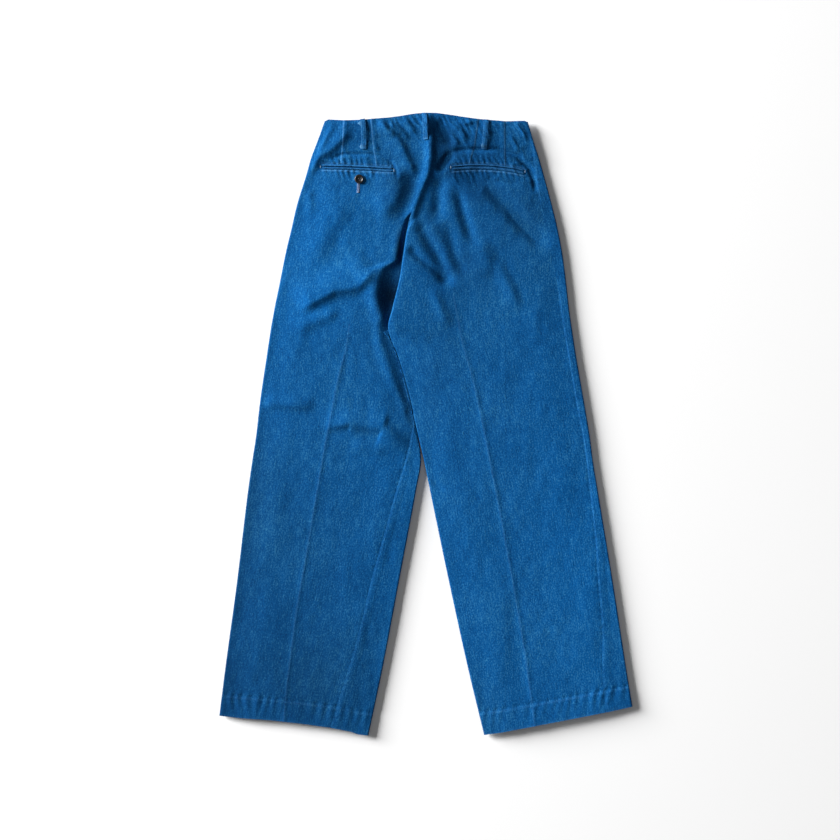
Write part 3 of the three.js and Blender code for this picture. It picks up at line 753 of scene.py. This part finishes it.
# Points of a panel's outer face for its rows and stops, with their marks and wear.
def panelPoints(rows, stops):
    along, turn, bend = stops
    side = rows["side"]

    def col(key):
        return rows[key][:, None]

    radius = np.where(bend < 0, col("radius"), cloth["foldRadius"])
    reach = radius * np.sin(turn) * bend
    under = (1 - np.cos(turn)) / 2
    share = np.broadcast_to(col("share"), along.shape)
    fromWaist = share * cutLength
    rootX = col("innerX") + col("acrossX") * along
    rootY = col("innerY") + col("acrossY") * along
    drop = straightValue(waistEdge, "drop", "x", rootX)
    lift = straightValue(hemEdge, "lift", "x", rootX)
    # The waist's outer corners are rounded off
    corner = 3.2 * np.clip(1 - (col("width") - along) / 7, 0, 1) ** 2 * (1 - smooth(fromWaist, 0, 14))
    rootY = rootY - (1 - smooth(fromWaist, 0, waistEdgeReach)) * drop - corner
    rootY = rootY + (1 - smooth(cutLength - fromWaist, 0, hemEdgeReach)) * lift
    flatX = rootX + col("acrossX") * reach
    flatY = rootY + col("acrossY") * reach
    # The front's waist edge dips below the back's
    dip = cut["frontDip"] * np.clip(1 - share / cut["frontDipEnd"], 0, 1)
    dip = dip * under * (1 - along / col("width"))
    z = mix(topHeight(side, rootX, rootY, share), underHeight(flatX, flatY), under)
    marks = {
        name: awayFrom(distance, np.clip(4 * under, 0, 1))
        for name, distance in markDistances(side, rootX, rootY).items()
    }
    # Painted shade and light: the tone carries the patches of dye and of painted shade and light, and adds
    # painted shade on the edge folds that face the light.
    toLight = bend > 0 if side == "left" else bend < 0
    tone = toneAt(side, rootX, rootY) * (1 - paintedShadeOnLitFolds * toLight * smooth(under, 0, 0.3))
    worn = wornAt(side, rootX, rootY, share) * (1 - under)
    return np.stack([flatX, flatY - dip, z], axis=-1), {"worn": worn, "tone": tone, **marks}


# Rows closer together at the waist, the pockets and the hem, where the sewing shows.
rowBands = [
    {"to": 0.066, "rows": 34}, {"to": 0.108, "rows": 34}, {"to": 0.36, "rows": 116},
    {"to": 1 - 42 / cutLength, "rows": 190}, {"to": 1, "rows": 20},
]


def rowShares():
    shares = [np.zeros(1)]
    for band in rowBands:
        shares.append(np.linspace(shares[-1][-1], band["to"], band["rows"] + 1)[1:])
    return np.concatenate(shares)


def srgb(code):
    parts = [int(code[i:i + 2], 16) / 255 for i in (1, 3, 5)]
    return [c / 12.92 if c <= 0.04045 else ((c + 0.055) / 1.055) ** 2.4 for c in parts] + [1.0]


# Adds a node with its settings, and links named inputs to other nodes' outputs.
def addNode(tree, kind, settings=None, inputs=None):
    node = tree.nodes.new(kind)
    for key, value in (settings or {}).items():
        setattr(node, key, value)
    for key, value in (inputs or {}).items():
        if isinstance(value, bpy.types.NodeSocket):
            tree.links.new(value, node.inputs[key])
        else:
            node.inputs[key].default_value = value
    return node


def addMath(tree, operation, *values):
    return addNode(tree, "ShaderNodeMath", {"operation": operation}, dict(enumerate(values))).outputs[0]


# A share that rises smoothly from 0 to 1, or falls, as value goes from low to high.
def addRise(tree, value, low, high, start=0.0, end=1.0):
    return addNode(tree, "ShaderNodeMapRange", {"interpolation_type": "SMOOTHSTEP"}, {
        "Value": value, "From Min": low, "From Max": high, "To Min": start, "To Max": end,
    }).outputs[0]


def newMaterial(name):
    made = bpy.data.materials.new(name)
    made.use_nodes = True
    tree = made.node_tree
    tree.nodes.clear()
    return made, tree


def finishMaterial(tree, shader):
    addNode(tree, "ShaderNodeOutputMaterial", inputs={"Surface": shader.outputs[0]})


# Flat noise on the cut of the cloth, in marks of the grain's width and height in millimetres.
def addGrain(tree, place, grain):
    shift = grain["shift"]
    spread = addNode(tree, "ShaderNodeMapping", inputs={
        "Vector": place, "Scale": (1 / (grain["wide"] * mm), 1 / (grain["tall"] * mm), 1),
        "Location": (shift, shift * 0.7, 0),
    })
    return addNode(tree, "ShaderNodeTexNoise", {"noise_dimensions": "2D"}, {
        "Vector": spread.outputs[0], "Scale": 1.0, "Detail": grain["detail"], "Roughness": 0.6,
    }).outputs[0]


def addAttribute(tree, name):
    return addNode(tree, "ShaderNodeAttribute", {"attribute_name": name}).outputs["Fac"]


def addColourMix(tree, share, first, second, blend="MIX"):
    return addNode(tree, "ShaderNodeMix", {"data_type": "RGBA", "blend_type": blend}, {
        0: share, 6: first, 7: second,
    }).outputs[2]


# Indigo cotton twill, garment washed: dyed warp over a paler weft, so the eye sees a saturated
# blue broken by short upright streaks and pale specks, with a dry surface that hardly shines.
indigo = {
    "base": "#08518C", "deep": "#043C70", "pale": "#3077A6", "worn": "#5E9AC9",
    "deepAt": 0.46, "baseAt": 0.69, "paleAt": 0.93,
    "yarnHigh": 0.35, "twillHigh": 0.08, "twill": 1.3, "twillTurn": 63,
    "roughness": 0.9, "shine": 0.06,
}
# The unevenness of its colour, in marks coarser than real threads. The first three are yarns.
grains = {
    "streak": {"wide": 1.6, "tall": 3.6, "detail": 1, "shift": 0, "weight": 0.34},
    "speck": {"wide": 2.2, "tall": 2.6, "detail": 1, "shift": 31, "weight": 0.44},
    "slub": {"wide": 1.9, "tall": 18, "detail": 1, "shift": 13, "weight": 0.3},
    "mottle": {"wide": 11, "tall": 17.6, "detail": 2, "shift": 57, "weight": 0.14},
    "patch": {"wide": 130, "tall": 130, "detail": 1, "shift": 83, "weight": 0.14},
}
# How each kind of thin line looks: how pale it is, how far past the line the pale band's middle
# lies, the band's half width, and the height of the step at the line, in millimetres.
lineLooks = asTable(
    ("mark", "pale", "middle", "wide", "step"),
    ("dartOne", 0.25, 0.8, 1.7, 0.4),
    ("dartTwo", 0.22, 0.8, 1.7, 0.4),
    ("crease", 0.07, -0.6, 2.2, 0),
    ("sideSeam", 0.03, 1.4, 2.2, 0.12),
)


def indigoTwill(name):
    made, tree = newMaterial(name)
    place = addNode(tree, "ShaderNodeUVMap", {"uv_map": "cut"}).outputs[0]
    noise = {key: addGrain(tree, place, grain) for key, grain in grains.items()}
    weighed = {key: addMath(tree, "MULTIPLY", noise[key], grains[key]["weight"]) for key in grains}
    weave = addMath(tree, "ADD", addMath(tree, "ADD", weighed["streak"], weighed["speck"]), weighed["slub"])
    dye = addMath(tree, "ADD", weave, addMath(tree, "ADD", weighed["mottle"], weighed["patch"]))
    ramp = addNode(tree, "ShaderNodeValToRGB", inputs={0: dye})
    ramp.color_ramp.elements[0].position = indigo["deepAt"]
    ramp.color_ramp.elements[0].color = srgb(indigo["deep"])
    ramp.color_ramp.elements[1].position = indigo["paleAt"]
    ramp.color_ramp.elements[1].color = srgb(indigo["pale"])
    ramp.color_ramp.elements.new(indigo["baseAt"]).color = srgb(indigo["base"])
    worn = addAttribute(tree, "worn")
    relief = addMath(tree, "MULTIPLY", weave, indigo["yarnHigh"] * mm)
    for look in lineLooks:
        across = addAttribute(tree, look["mark"])
        off = addMath(tree, "ABSOLUTE", addMath(tree, "SUBTRACT", across, look["middle"]))
        pale = addRise(tree, off, look["wide"] * 0.3, look["wide"], look["pale"], 0.0)
        worn = addMath(tree, "MAXIMUM", worn, pale)
        if look["step"]:
            relief = addMath(tree, "ADD", relief, addRise(tree, across, -0.8, 0.6, 0.0, look["step"] * mm))
    wornShare = addNode(tree, "ShaderNodeMath", {"operation": "MULTIPLY", "use_clamp": True}, {
        0: worn, 1: addMath(tree, "ADD", noise["speck"], 0.45),
    }).outputs[0]
    colour = addColourMix(tree, wornShare, ramp.outputs[0], srgb(indigo["worn"]))
    # The tone attribute multiplies the colour: uneven dye, with painted shade and painted light.
    toned = addColourMix(tree, 1.0, colour, addAttribute(tree, "tone"), "MULTIPLY")
    twillMap = addNode(tree, "ShaderNodeMapping", inputs={
        "Vector": place, "Rotation": (0, 0, math.radians(indigo["twillTurn"])),
        "Scale": (1 / (indigo["twill"] * mm),) * 2 + (1,),
    })
    twill = addNode(tree, "ShaderNodeTexWave", {"wave_type": "BANDS"}, {
        "Vector": twillMap.outputs[0], "Scale": 0.32, "Distortion": 1.4, "Detail": 2.0, "Detail Scale": 1.6,
    })
    twillRelief = addMath(tree, "MULTIPLY", twill.outputs["Fac"], indigo["twillHigh"] * mm)
    nap = addMath(tree, "ADD", relief, twillRelief)
    bump = addNode(tree, "ShaderNodeBump", inputs={"Height": nap, "Strength": 1.0, "Distance": 1.0})
    shader = addNode(tree, "ShaderNodeBsdfPrincipled", inputs={
        "Base Color": toned, "Roughness": indigo["roughness"], "Normal": bump.outputs[0],
        "Specular IOR Level": indigo["shine"],
    })
    finishMaterial(tree, shader)
    return made


# Noise in the space of the piece, in lumps of a size in millimetres.
def addLumps(tree, size, detail, distortion=0.0):
    place = addNode(tree, "ShaderNodeTexCoord").outputs["Object"]
    return addNode(tree, "ShaderNodeTexNoise", inputs={
        "Vector": place, "Scale": 1 / (size * mm), "Detail": detail, "Distortion": distortion,
    }).outputs[0]


# Cotton-wrapped sewing thread: plies of two tones, which break up its colour, and a little shine.
thread = {"ply": 0.9, "shade": 0.62, "roughness": 0.65, "shine": 0.35}


def sewingThread(name, code):
    made, tree = newMaterial(name)
    shade = [c * thread["shade"] for c in srgb(code)[:3]] + [1]
    tint = addColourMix(tree, addLumps(tree, thread["ply"], 1.0), srgb(code), shade)
    shader = addNode(tree, "ShaderNodeBsdfPrincipled", inputs={
        "Base Color": tint, "Roughness": thread["roughness"], "Specular IOR Level": thread["shine"],
    })
    finishMaterial(tree, shader)
    return made


# Moulded dark polyester resin, tumbled to a satin: near black with faint warm clouds, like horn.
resin = {"dark": "#060607", "warm": "#181516", "cloud": 6, "scratch": 0.5, "least": 0.28, "most": 0.48}


def hornResin(name):
    made, tree = newMaterial(name)
    clouds = addLumps(tree, resin["cloud"], 3.0, 1.2)
    tint = addColourMix(tree, clouds, srgb(resin["dark"]), srgb(resin["warm"]))
    rough = addNode(tree, "ShaderNodeMapRange", inputs={
        "Value": addLumps(tree, resin["scratch"], 2.0), "To Min": resin["least"], "To Max": resin["most"],
    })
    shader = addNode(tree, "ShaderNodeBsdfPrincipled", inputs={
        "Base Color": tint, "Roughness": rough.outputs[0], "IOR": 1.55,
    })
    finishMaterial(tree, shader)
    return made


indigoCloth = indigoTwill("indigo cotton twill")
holeThread = sewingThread("grey blue buttonhole thread", "#8496B8")
tackThread = sewingThread("pale blue tack thread", "#86A6C2")
buttonResin = hornResin("dark resin button")
print("materials made")


def addPiece(name, made, material, replaced=()):
    piece = bpy.data.objects.new(name, made)
    bpy.context.scene.collection.objects.link(piece)
    made.materials.clear()
    made.materials.append(material)
    for face in made.polygons:
        face.use_smooth = True
    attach(piece, "root")
    if replaced:
        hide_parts(*replaced)
    return piece


# Turns a bmesh into a mesh and frees it.
def meshFrom(bm, name):
    made = bpy.data.meshes.new(name)
    bm.to_mesh(made)
    bm.free()
    return made


# Lengths from the middle column out along each row, and from the waist down it, in millimetres.
def gridLengths(points):
    rows, columns = points.shape[:2]
    middle = columns // 2
    across = np.zeros((rows, columns))
    across[:, 1:] = np.cumsum(np.linalg.norm(np.diff(points, axis=1), axis=2), axis=1)
    down = np.zeros(rows)
    down[1:] = np.cumsum(np.linalg.norm(np.diff(points[:, middle], axis=0), axis=1))
    return across - across[:, [middle]], down


# A grid mesh whose columns and rows are moved to points, in millimetres, with each mark kept as
# an attribute and a flat map of the cut. Each piece has an origin of its own on that map, so no
# two pieces share their marks of colour.
def gridMesh(name, points, flip, marks, origin=(0, 0)):
    rows, columns = points.shape[:2]
    bm = bmesh.new()
    bmesh.ops.create_grid(bm, x_segments=columns - 1, y_segments=rows - 1, size=0.5)
    for vert in bm.verts:
        j = round((vert.co.x + 0.5) * (columns - 1))
        i = round((vert.co.y + 0.5) * (rows - 1))
        vert.co = (j, i, 0)
    across, down = gridLengths(points)
    flat = bm.loops.layers.uv.new("cut")
    for face in bm.faces:
        for loop in face.loops:
            j, i = round(loop.vert.co.x), round(loop.vert.co.y)
            loop[flat].uv = ((origin[0] + across[i, j]) * mm, (origin[1] - down[i]) * mm)
    for edge in bm.edges:
        edge.smooth = not edge.is_boundary
    if flip:
        bmesh.ops.reverse_faces(bm, faces=bm.faces)
    made = meshFrom(bm, name)
    index = np.array([(round(v.co.y), round(v.co.x)) for v in made.vertices])
    made.vertices.foreach_set("co", (points[index[:, 0], index[:, 1]] * mm).ravel())
    for mark, values in marks.items():
        layer = made.attributes.new(mark, "FLOAT", "POINT")
        layer.data.foreach_set("value", values[index[:, 0], index[:, 1]])
    made.update()
    return made


def thicken(piece, thickness):
    wall = piece.modifiers.new("wall", "SOLIDIFY")
    wall.thickness = thickness * mm
    wall.offset = -1


# The four panels. flat and area are the cloth of each one laid flat, in metres.
panels = [
    {"name": "backLeftPanel", "node": "back_left", "side": "left", "stops": backLeftStops,
     "flat": (0.301, 1.03), "area": 0.257, "restsOn": ["front_left"]},
    {"name": "frontLeftPanel", "node": "front_left", "side": "left", "stops": frontLeftStops,
     "flat": (0.263, 1.03), "area": 0.216, "restsOn": []},
    {"name": "backRightPanel", "node": "back_right", "side": "right", "stops": backRightStops,
     "flat": (0.301, 1.03), "area": 0.271, "restsOn": ["front_right", "back_left"]},
    {"name": "frontRightPanel", "node": "front_right", "side": "right", "stops": frontRightStops,
     "flat": (0.316, 1.03), "area": 0.259, "restsOn": []},
]
panelSpacing = 700  # mm between the panels' origins
for number, panel in enumerate(panels):
    rows = sectionRows(panel["side"], rowShares())
    points, marks = panelPoints(rows, panel["stops"](rows))
    flip = panel["side"] == "right"
    made = gridMesh(panel["name"], points, flip, marks, (panelSpacing * number, 0))
    piece = addPiece(panel["name"], made, indigoCloth, [panel["node"]])
    thicken(piece, cloth["thick"])
    print("panel made:", panel["name"], "from", points.shape[0], "rows of", points.shape[1])


# Height of the upper surface at a point of either half, without the pockets' own relief.
def surfaceAt(x, y):
    x = np.asarray(x, float)
    y = np.asarray(y, float)
    middle = tableValue(outline, "rightInner", y)
    share = np.clip((cut["waistCentre"] - y - 0.07 * np.abs(x)) / cutLength, 0, 1)
    return np.where(x < middle, topHeight("left", x, y, share, True), topHeight("right", x, y, share, True))


earReach = 0.055  # of a loop's length


# Places of a strip's points along a line, t from end to end and u from side to side. An ear is a
# corner that sticks out, and roundEnd is the length over which both ends narrow.
def ribbon(line, wide, rows, columns, ears=(), roundEnd=0.0):
    t = np.linspace(0, 1, rows)
    u = np.linspace(-1, 1, columns)
    place, way = onBend(line, t)
    side = np.stack([way[:, 1], -way[:, 0]], axis=-1)
    side *= np.sign(side[:, :1] + 1e-9) if abs(side[0, 0]) > abs(side[0, 1]) else np.sign(side[:, 1:])
    half = np.full((rows, columns), wide / 2)
    for ear in ears:
        bulge = ear["out"] * np.exp(-np.abs((t - ear["at"]) / earReach) ** 1.4)
        half += np.clip(-u, 0, 1)[None, :] ** 3 * bulge[:, None]
    if roundEnd:
        length = np.linalg.norm(np.diff(place, axis=0), axis=1).sum()
        toEnd = np.minimum(t, 1 - t) * length
        half *= np.sqrt(1 - np.clip(1 - toEnd / roundEnd, 0, 1) ** 2 * 0.8)[:, None]
    xy = place[:, None, :] + side[:, None, :] * (u[None, :, None] * half[:, :, None])
    return xy[..., 0], xy[..., 1], t[:, None], u[None, :]


# A strip of cloth in a node's place. It has no lines, and it takes the tone of the cloth that it lies on:
# that cloth's uneven dye, with its painted shade and painted light. under is for a strip on the underside.
def addRibbon(row, x, y, z, worn, thick, origin, under=False):
    points = np.stack([x, y, z], axis=-1)
    marks = {"worn": worn, "tone": toneAt("left" if x.mean() < 0 else "right", x, y)}
    marks.update({name: np.full(worn.shape, noLine) for name in markNames})
    step = np.cross(points[1:, 1:] - points[:-1, :-1], points[1:, :-1] - points[:-1, 1:])
    facesDown = step[..., 2].sum() < 0
    made = gridMesh(row["name"], points, facesDown != under, marks, origin)
    thicken(addPiece(row["name"], made, indigoCloth, [row["node"]]), thick)


# Three narrow loops of folded cloth, sewn down at both ends and arched between. The ears are
# corners of the folded ends that stick out, worn white.
backLoops = [
    {"name": "beltLoopBackLeft", "node": "belt_loop_back_left", "wide": 8.2, "arch": 2.2,
     "line": [(-103.6, 503.5), (-101.8, 480), (-101.9, 454)],
     "ears": [{"at": 0.15, "out": 5.2}, {"at": 0.93, "out": 2.8}]},
    {"name": "beltLoopBackCentre", "node": "belt_loop_back_centre", "wide": 7.4, "arch": 3.0,
     "line": [(-1.4, 513.6), (-0.9, 490), (0.2, 469.5)], "ears": []},
    {"name": "beltLoopBackRight", "node": "belt_loop_back_right", "wide": 8.0, "arch": 2.2,
     "line": [(100.2, 502.6), (98.7, 480), (96.9, 454)], "ears": [{"at": 0.9, "out": 1.6}]},
]
loopCloth = {"thick": 1.3, "rest": 0.25, "crown": 0.55, "groove": 0.25, "rows": 56, "columns": 19}
for number, loop in enumerate(backLoops):
    x, y, t, u = ribbon(loop["line"], loop["wide"], loopCloth["rows"], loopCloth["columns"], loop["ears"])
    surface = surfaceAt(x, y)
    middle = surfaceAt(*onBend(loop["line"], t)[0].transpose(2, 0, 1))
    arch = loop["arch"] * np.sin(math.pi * np.clip((t - 0.06) / 0.86, 0, 1)) ** 0.7
    edge = loopCloth["crown"] * (1 - np.abs(u) ** 5) - loopCloth["groove"] * bell(np.abs(u), 0.62, 0.14)
    z = np.maximum(mix(middle, surface, 0.5), surface) + arch + edge
    z = z + loopCloth["rest"] + loopCloth["thick"]
    worn = 0.02 + 0.22 * np.abs(u) ** 6 + 0.08 * bell(u, 0, 0.16) + 0.2 * bell(t, 0.93, 0.05)
    for ear in loop["ears"]:
        worn = worn + 1.1 * np.clip(-u - 0.35, 0, 1) * bell(t, ear["at"], 0.07)
    addRibbon(loop, x, y, z, np.clip(worn, 0, 1), loopCloth["thick"], (3000 + 40 * number, 0))

# Two flat loops on the underside
frontLoops = [
    {"name": "beltLoopFrontLeft", "node": "belt_loop_front_left", "x": -84},
    {"name": "beltLoopFrontRight", "node": "belt_loop_front_right", "x": 84},
]
underLoop = {
    "top": 492, "middle": 468, "foot": 444, "wide": 9.2, "thick": 1.2,
    "below": 1.75, "crown": 0.3, "lowest": 0.1, "rows": 30, "columns": 11,
}
for number, loop in enumerate(frontLoops):
    line = [(loop["x"], underLoop[place]) for place in ("top", "middle", "foot")]
    x, y, t, u = ribbon(line, underLoop["wide"], underLoop["rows"], underLoop["columns"])
    below = underLoop["below"] + underLoop["crown"] * (1 - np.abs(u) ** 4)
    z = np.maximum(underLoop["lowest"], bottomHeight(y) - below)
    worn = np.broadcast_to(0.3 + 0.4 * np.abs(u) ** 6, x.shape)
    addRibbon(loop, x, y, z, worn, underLoop["thick"], (3300 + 40 * number, 0), under=True)

# Back pockets: two rounded edges of doubled cloth with a slot between
welts = [
    {"name": "backPocketLeftUpperWelt", "node": "back_pocket_left_upper_welt",
     "side": "left", "part": "upper"},
    {"name": "backPocketLeftLowerWelt", "node": "back_pocket_left_lower_welt",
     "side": "left", "part": "lower"},
    {"name": "backPocketRightUpperWelt", "node": "back_pocket_right_upper_welt",
     "side": "right", "part": "upper"},
    {"name": "backPocketRightLowerWelt", "node": "back_pocket_right_lower_welt",
     "side": "right", "part": "lower"},
]
weltCloth = {
    "thick": 1.0, "round": 1.5, "outerRound": 0.55, "rest": 0.1, "uneven": 0.12, "rows": 120, "columns": 13,
}
for number, welt in enumerate(welts):
    pocket = pockets[welt["side"]]
    wide = pocket[welt["part"]]
    above = 1 if welt["part"] == "upper" else -1
    line = [(px, py + above * (pocket["slot"] + wide) / 2) for px, py in pocket["line"]]
    x, y, t, u = ribbon(line, wide, weltCloth["rows"], weltCloth["columns"], roundEnd=3.0)
    # Rounder beside the slot than at the outer edge
    roll = weltCloth["round"] * mix(1, weltCloth["outerRound"], smooth(above * u, -1, 1))
    z = surfaceAt(x, y) + weltCloth["rest"] + roll * np.sqrt(1 - u**2)
    z = z + weltCloth["uneven"] * softNoise(x, y, 7, 97)
    worn = np.broadcast_to(0.05 + 0.12 * bell(u, 0, 0.5), x.shape)
    addRibbon(welt, x, y, z, worn, weltCloth["thick"], (3500, 30 * number))
print("loops and welts made")


# A round button's outline as a profile turned round: a dished middle, a raised rim and a flat
# foot. out is a share of the radius and up of the thickness.
buttonProfile = asTable(
    ("out", "up"),
    (0, 0.62), (0.2, 0.62), (0.3, 0.62), (0.4, 0.63), (0.5, 0.66), (0.6, 0.74), (0.66, 0.88),
    (0.74, 0.98), (0.82, 1.0), (0.9, 0.95), (0.97, 0.82), (1.0, 0.62), (0.98, 0.4), (0.9, 0.2),
    (0.7, 0.06), (0.4, 0.0), (0, 0),
)
buttonHoles = {"at": 0.2, "inner": 0.1, "outer": 0.15, "deep": 0.5}  # shares, for four holes in a square


def buttonMesh(name, radius, thick, up):
    bm = bmesh.new()
    verts = [bm.verts.new((p["out"] * radius * mm, 0, p["up"] * thick * mm)) for p in buttonProfile]
    edges = [bm.edges.new(pair) for pair in zip(verts, verts[1:])]
    bmesh.ops.spin(
        bm, geom=verts + edges, cent=(0, 0, 0), axis=(0, 0, 1), angle=2 * math.pi, steps=64, use_merge=True,
    )
    bmesh.ops.remove_doubles(bm, verts=bm.verts, dist=1e-6)
    face = [f for f in bm.faces if f.calc_center_median().z > 0.5 * thick * mm]
    longEdges = list(dict.fromkeys(e for f in face for e in f.edges if e.calc_length() > 0.3 * mm))
    bmesh.ops.subdivide_edges(bm, edges=longEdges, cuts=1, use_grid_fill=True)
    centres = [Vector((a, b)) * buttonHoles["at"] * radius * mm for a in (-1, 1) for b in (-1, 1)]
    for vert in bm.verts:
        if vert.co.z > 0.55 * thick * mm and vert.co.xy.length < 0.5 * radius * mm:
            gap = min((vert.co.xy - centre).length for centre in centres) / (radius * mm)
            inHole = 1 - smooth(gap, buttonHoles["inner"], buttonHoles["outer"])
            vert.co.z -= buttonHoles["deep"] * thick * mm * float(inHole)
    bmesh.ops.recalc_face_normals(bm, faces=bm.faces)
    if not up:
        half = thick * mm / 2
        bmesh.ops.rotate(bm, verts=bm.verts, cent=(0, 0, half), matrix=Matrix.Rotation(math.pi, 3, "X"))
    return meshFrom(bm, name)


buttons = [
    {"name": "backPocketButton", "node": "back_pocket_button", "at": (-109.3, 404.6),
     "radius": 7.6, "thick": 2.7, "up": True},
    {"name": "waistButton", "node": "waist_button", "at": (-9, 486), "radius": 8, "thick": 1.9, "up": False},
]
for button in buttons:
    made = buttonMesh(button["name"], button["radius"], button["thick"], button["up"])
    x, y = button["at"]
    base = float(surfaceAt(x, y)) + 0.5 if button["up"] else 0.15
    made.transform(Matrix.Translation((x * mm, y * mm, base * mm)))
    addPiece(button["name"], made, buttonResin, [button["node"]])


# Stitches in one piece: each is a small grain of thread with a length, all turned the same way.
def addStitches(name, stitches, material, wide, turn=0.0):
    bm = bmesh.new()
    for x, y, z, long in stitches:
        grain = bmesh.ops.create_uvsphere(bm, u_segments=6, v_segments=4, radius=0.5)["verts"]
        bmesh.ops.scale(bm, vec=(long * mm, wide * mm, wide * mm), verts=grain)
        bmesh.ops.rotate(bm, verts=grain, matrix=Matrix.Rotation(turn, 3, "Z"))
        bmesh.ops.translate(bm, vec=(x * mm, y * mm, z * mm), verts=grain)
    addPiece(name, meshFrom(bm, name), material)


buttonhole = {
    "line": [(-110.6, 398), (-110.8, 391), (-111.2, 384)], "length": 14, "pitch": 0.75, "out": 1.15,
    "long": 1.9, "wide": 0.8, "lift": 0.35,
    "tackLong": 5.2, "tackLift": 0.5, "tackRows": 4, "tackPitch": 0.5,
}
place, _ = onBend(buttonhole["line"], np.arange(0, 1, buttonhole["pitch"] / buttonhole["length"]))
addStitches("buttonholeStitches", [
    (px + side * buttonhole["out"], py,
     float(surfaceAt(px + side, py)) + buttonhole["lift"], buttonhole["long"])
    for px, py in place for side in (-1, 1)
], holeThread, buttonhole["wide"])
footX, footY = buttonhole["line"][-1]
footZ = float(surfaceAt(footX, footY)) + buttonhole["tackLift"]
addStitches("buttonholeTack", [
    (footX, footY - buttonhole["tackPitch"] * k, footZ, buttonhole["tackLong"])
    for k in range(buttonhole["tackRows"])
], holeThread, buttonhole["wide"])

# Three threads across each end of a pocket
tacks = [
    {"at": (-52.2, 418.6), "long": 6.4}, {"at": (164.2, 417.6), "long": 6.0},
    {"at": (41.6, 424.2), "long": 5.2}, {"at": (-173.6, 425.2), "long": 4.6},
]
tackThreads = {"wide": 0.5, "apart": 0.3, "lift": 0.35}
addStitches("pocketTacks", [
    (tack["at"][0] + tackThreads["apart"] * k, tack["at"][1],
     float(surfaceAt(*tack["at"])) + tackThreads["lift"], tack["long"])
    for tack in tacks for k in (-1, 0, 1)
], tackThread, tackThreads["wide"], math.pi / 2)
print("buttons and stitches made")

# Camera straight above, framed as the picture: one pixel is 1.65 mm at the cloth
view = {"pixel": 1.65, "frame": 840, "centreX": -9.1, "centreY": 7.4, "lens": 85, "sensor": 36, "level": 6}
reach = view["pixel"] * view["frame"] * view["lens"] / view["sensor"] + view["level"]
cameraData = bpy.data.cameras.new("camera")
cameraData.lens = view["lens"]
cameraData.sensor_width = view["sensor"]
camera = bpy.data.objects.new("camera", cameraData)
camera.location = (view["centreX"] * mm, view["centreY"] * mm, reach * mm)
bpy.context.scene.collection.objects.link(camera)
bpy.context.scene.camera = camera

# Pale floor, set a little below the cloth, which makes the shadow wider
ground = {"halfSide": 6, "below": 4}  # metres, and millimetres below the cloth
bm = bmesh.new()
bmesh.ops.create_grid(bm, x_segments=1, y_segments=1, size=ground["halfSide"])
floorMesh = meshFrom(bm, "floor")
floor = bpy.data.objects.new("floor", floorMesh)
floor.location.z = -ground["below"] * mm
bpy.context.scene.collection.objects.link(floor)
# Matt white paper, so that the ground is as plain as the picture's
paper, tree = newMaterial("white paper backdrop")
finishMaterial(tree, addNode(tree, "ShaderNodeBsdfPrincipled", inputs={
    "Base Color": srgb("#FAFAFA"), "Roughness": 0.9, "Specular IOR Level": 0.0,
}))
floorMesh.materials.append(paper)

# Soft studio light, the main one low from the upper left. Places and sizes are in metres.
lights = [
    {"name": "keyLight", "at": (-8.9, 3.6, 3.2), "aim": (0, 0.05, 0), "size": 4.6, "watts": 3380},
    {"name": "topLight", "at": (0.3, -0.3, 2.6), "aim": (0.1, -0.1, 0), "size": 2.4, "watts": 6},
]
for light in lights:
    data = bpy.data.lights.new(light["name"], "AREA")
    data.energy = light["watts"]
    data.size = light["size"]
    lamp = bpy.data.objects.new(light["name"], data)
    lamp.location = light["at"]
    lamp.rotation_euler = (Vector(light["aim"]) - Vector(light["at"])).to_track_quat("-Z", "Y").to_euler()
    bpy.context.scene.collection.objects.link(lamp)
world = bpy.data.worlds.new("studio")
world.use_nodes = True
world.node_tree.nodes["Background"].inputs["Color"].default_value = srgb("#FFFFFF")
world.node_tree.nodes["Background"].inputs["Strength"].default_value = 0.08
bpy.context.scene.world = world
bpy.context.scene.view_settings.view_transform = "Standard"
print("camera and lights set")
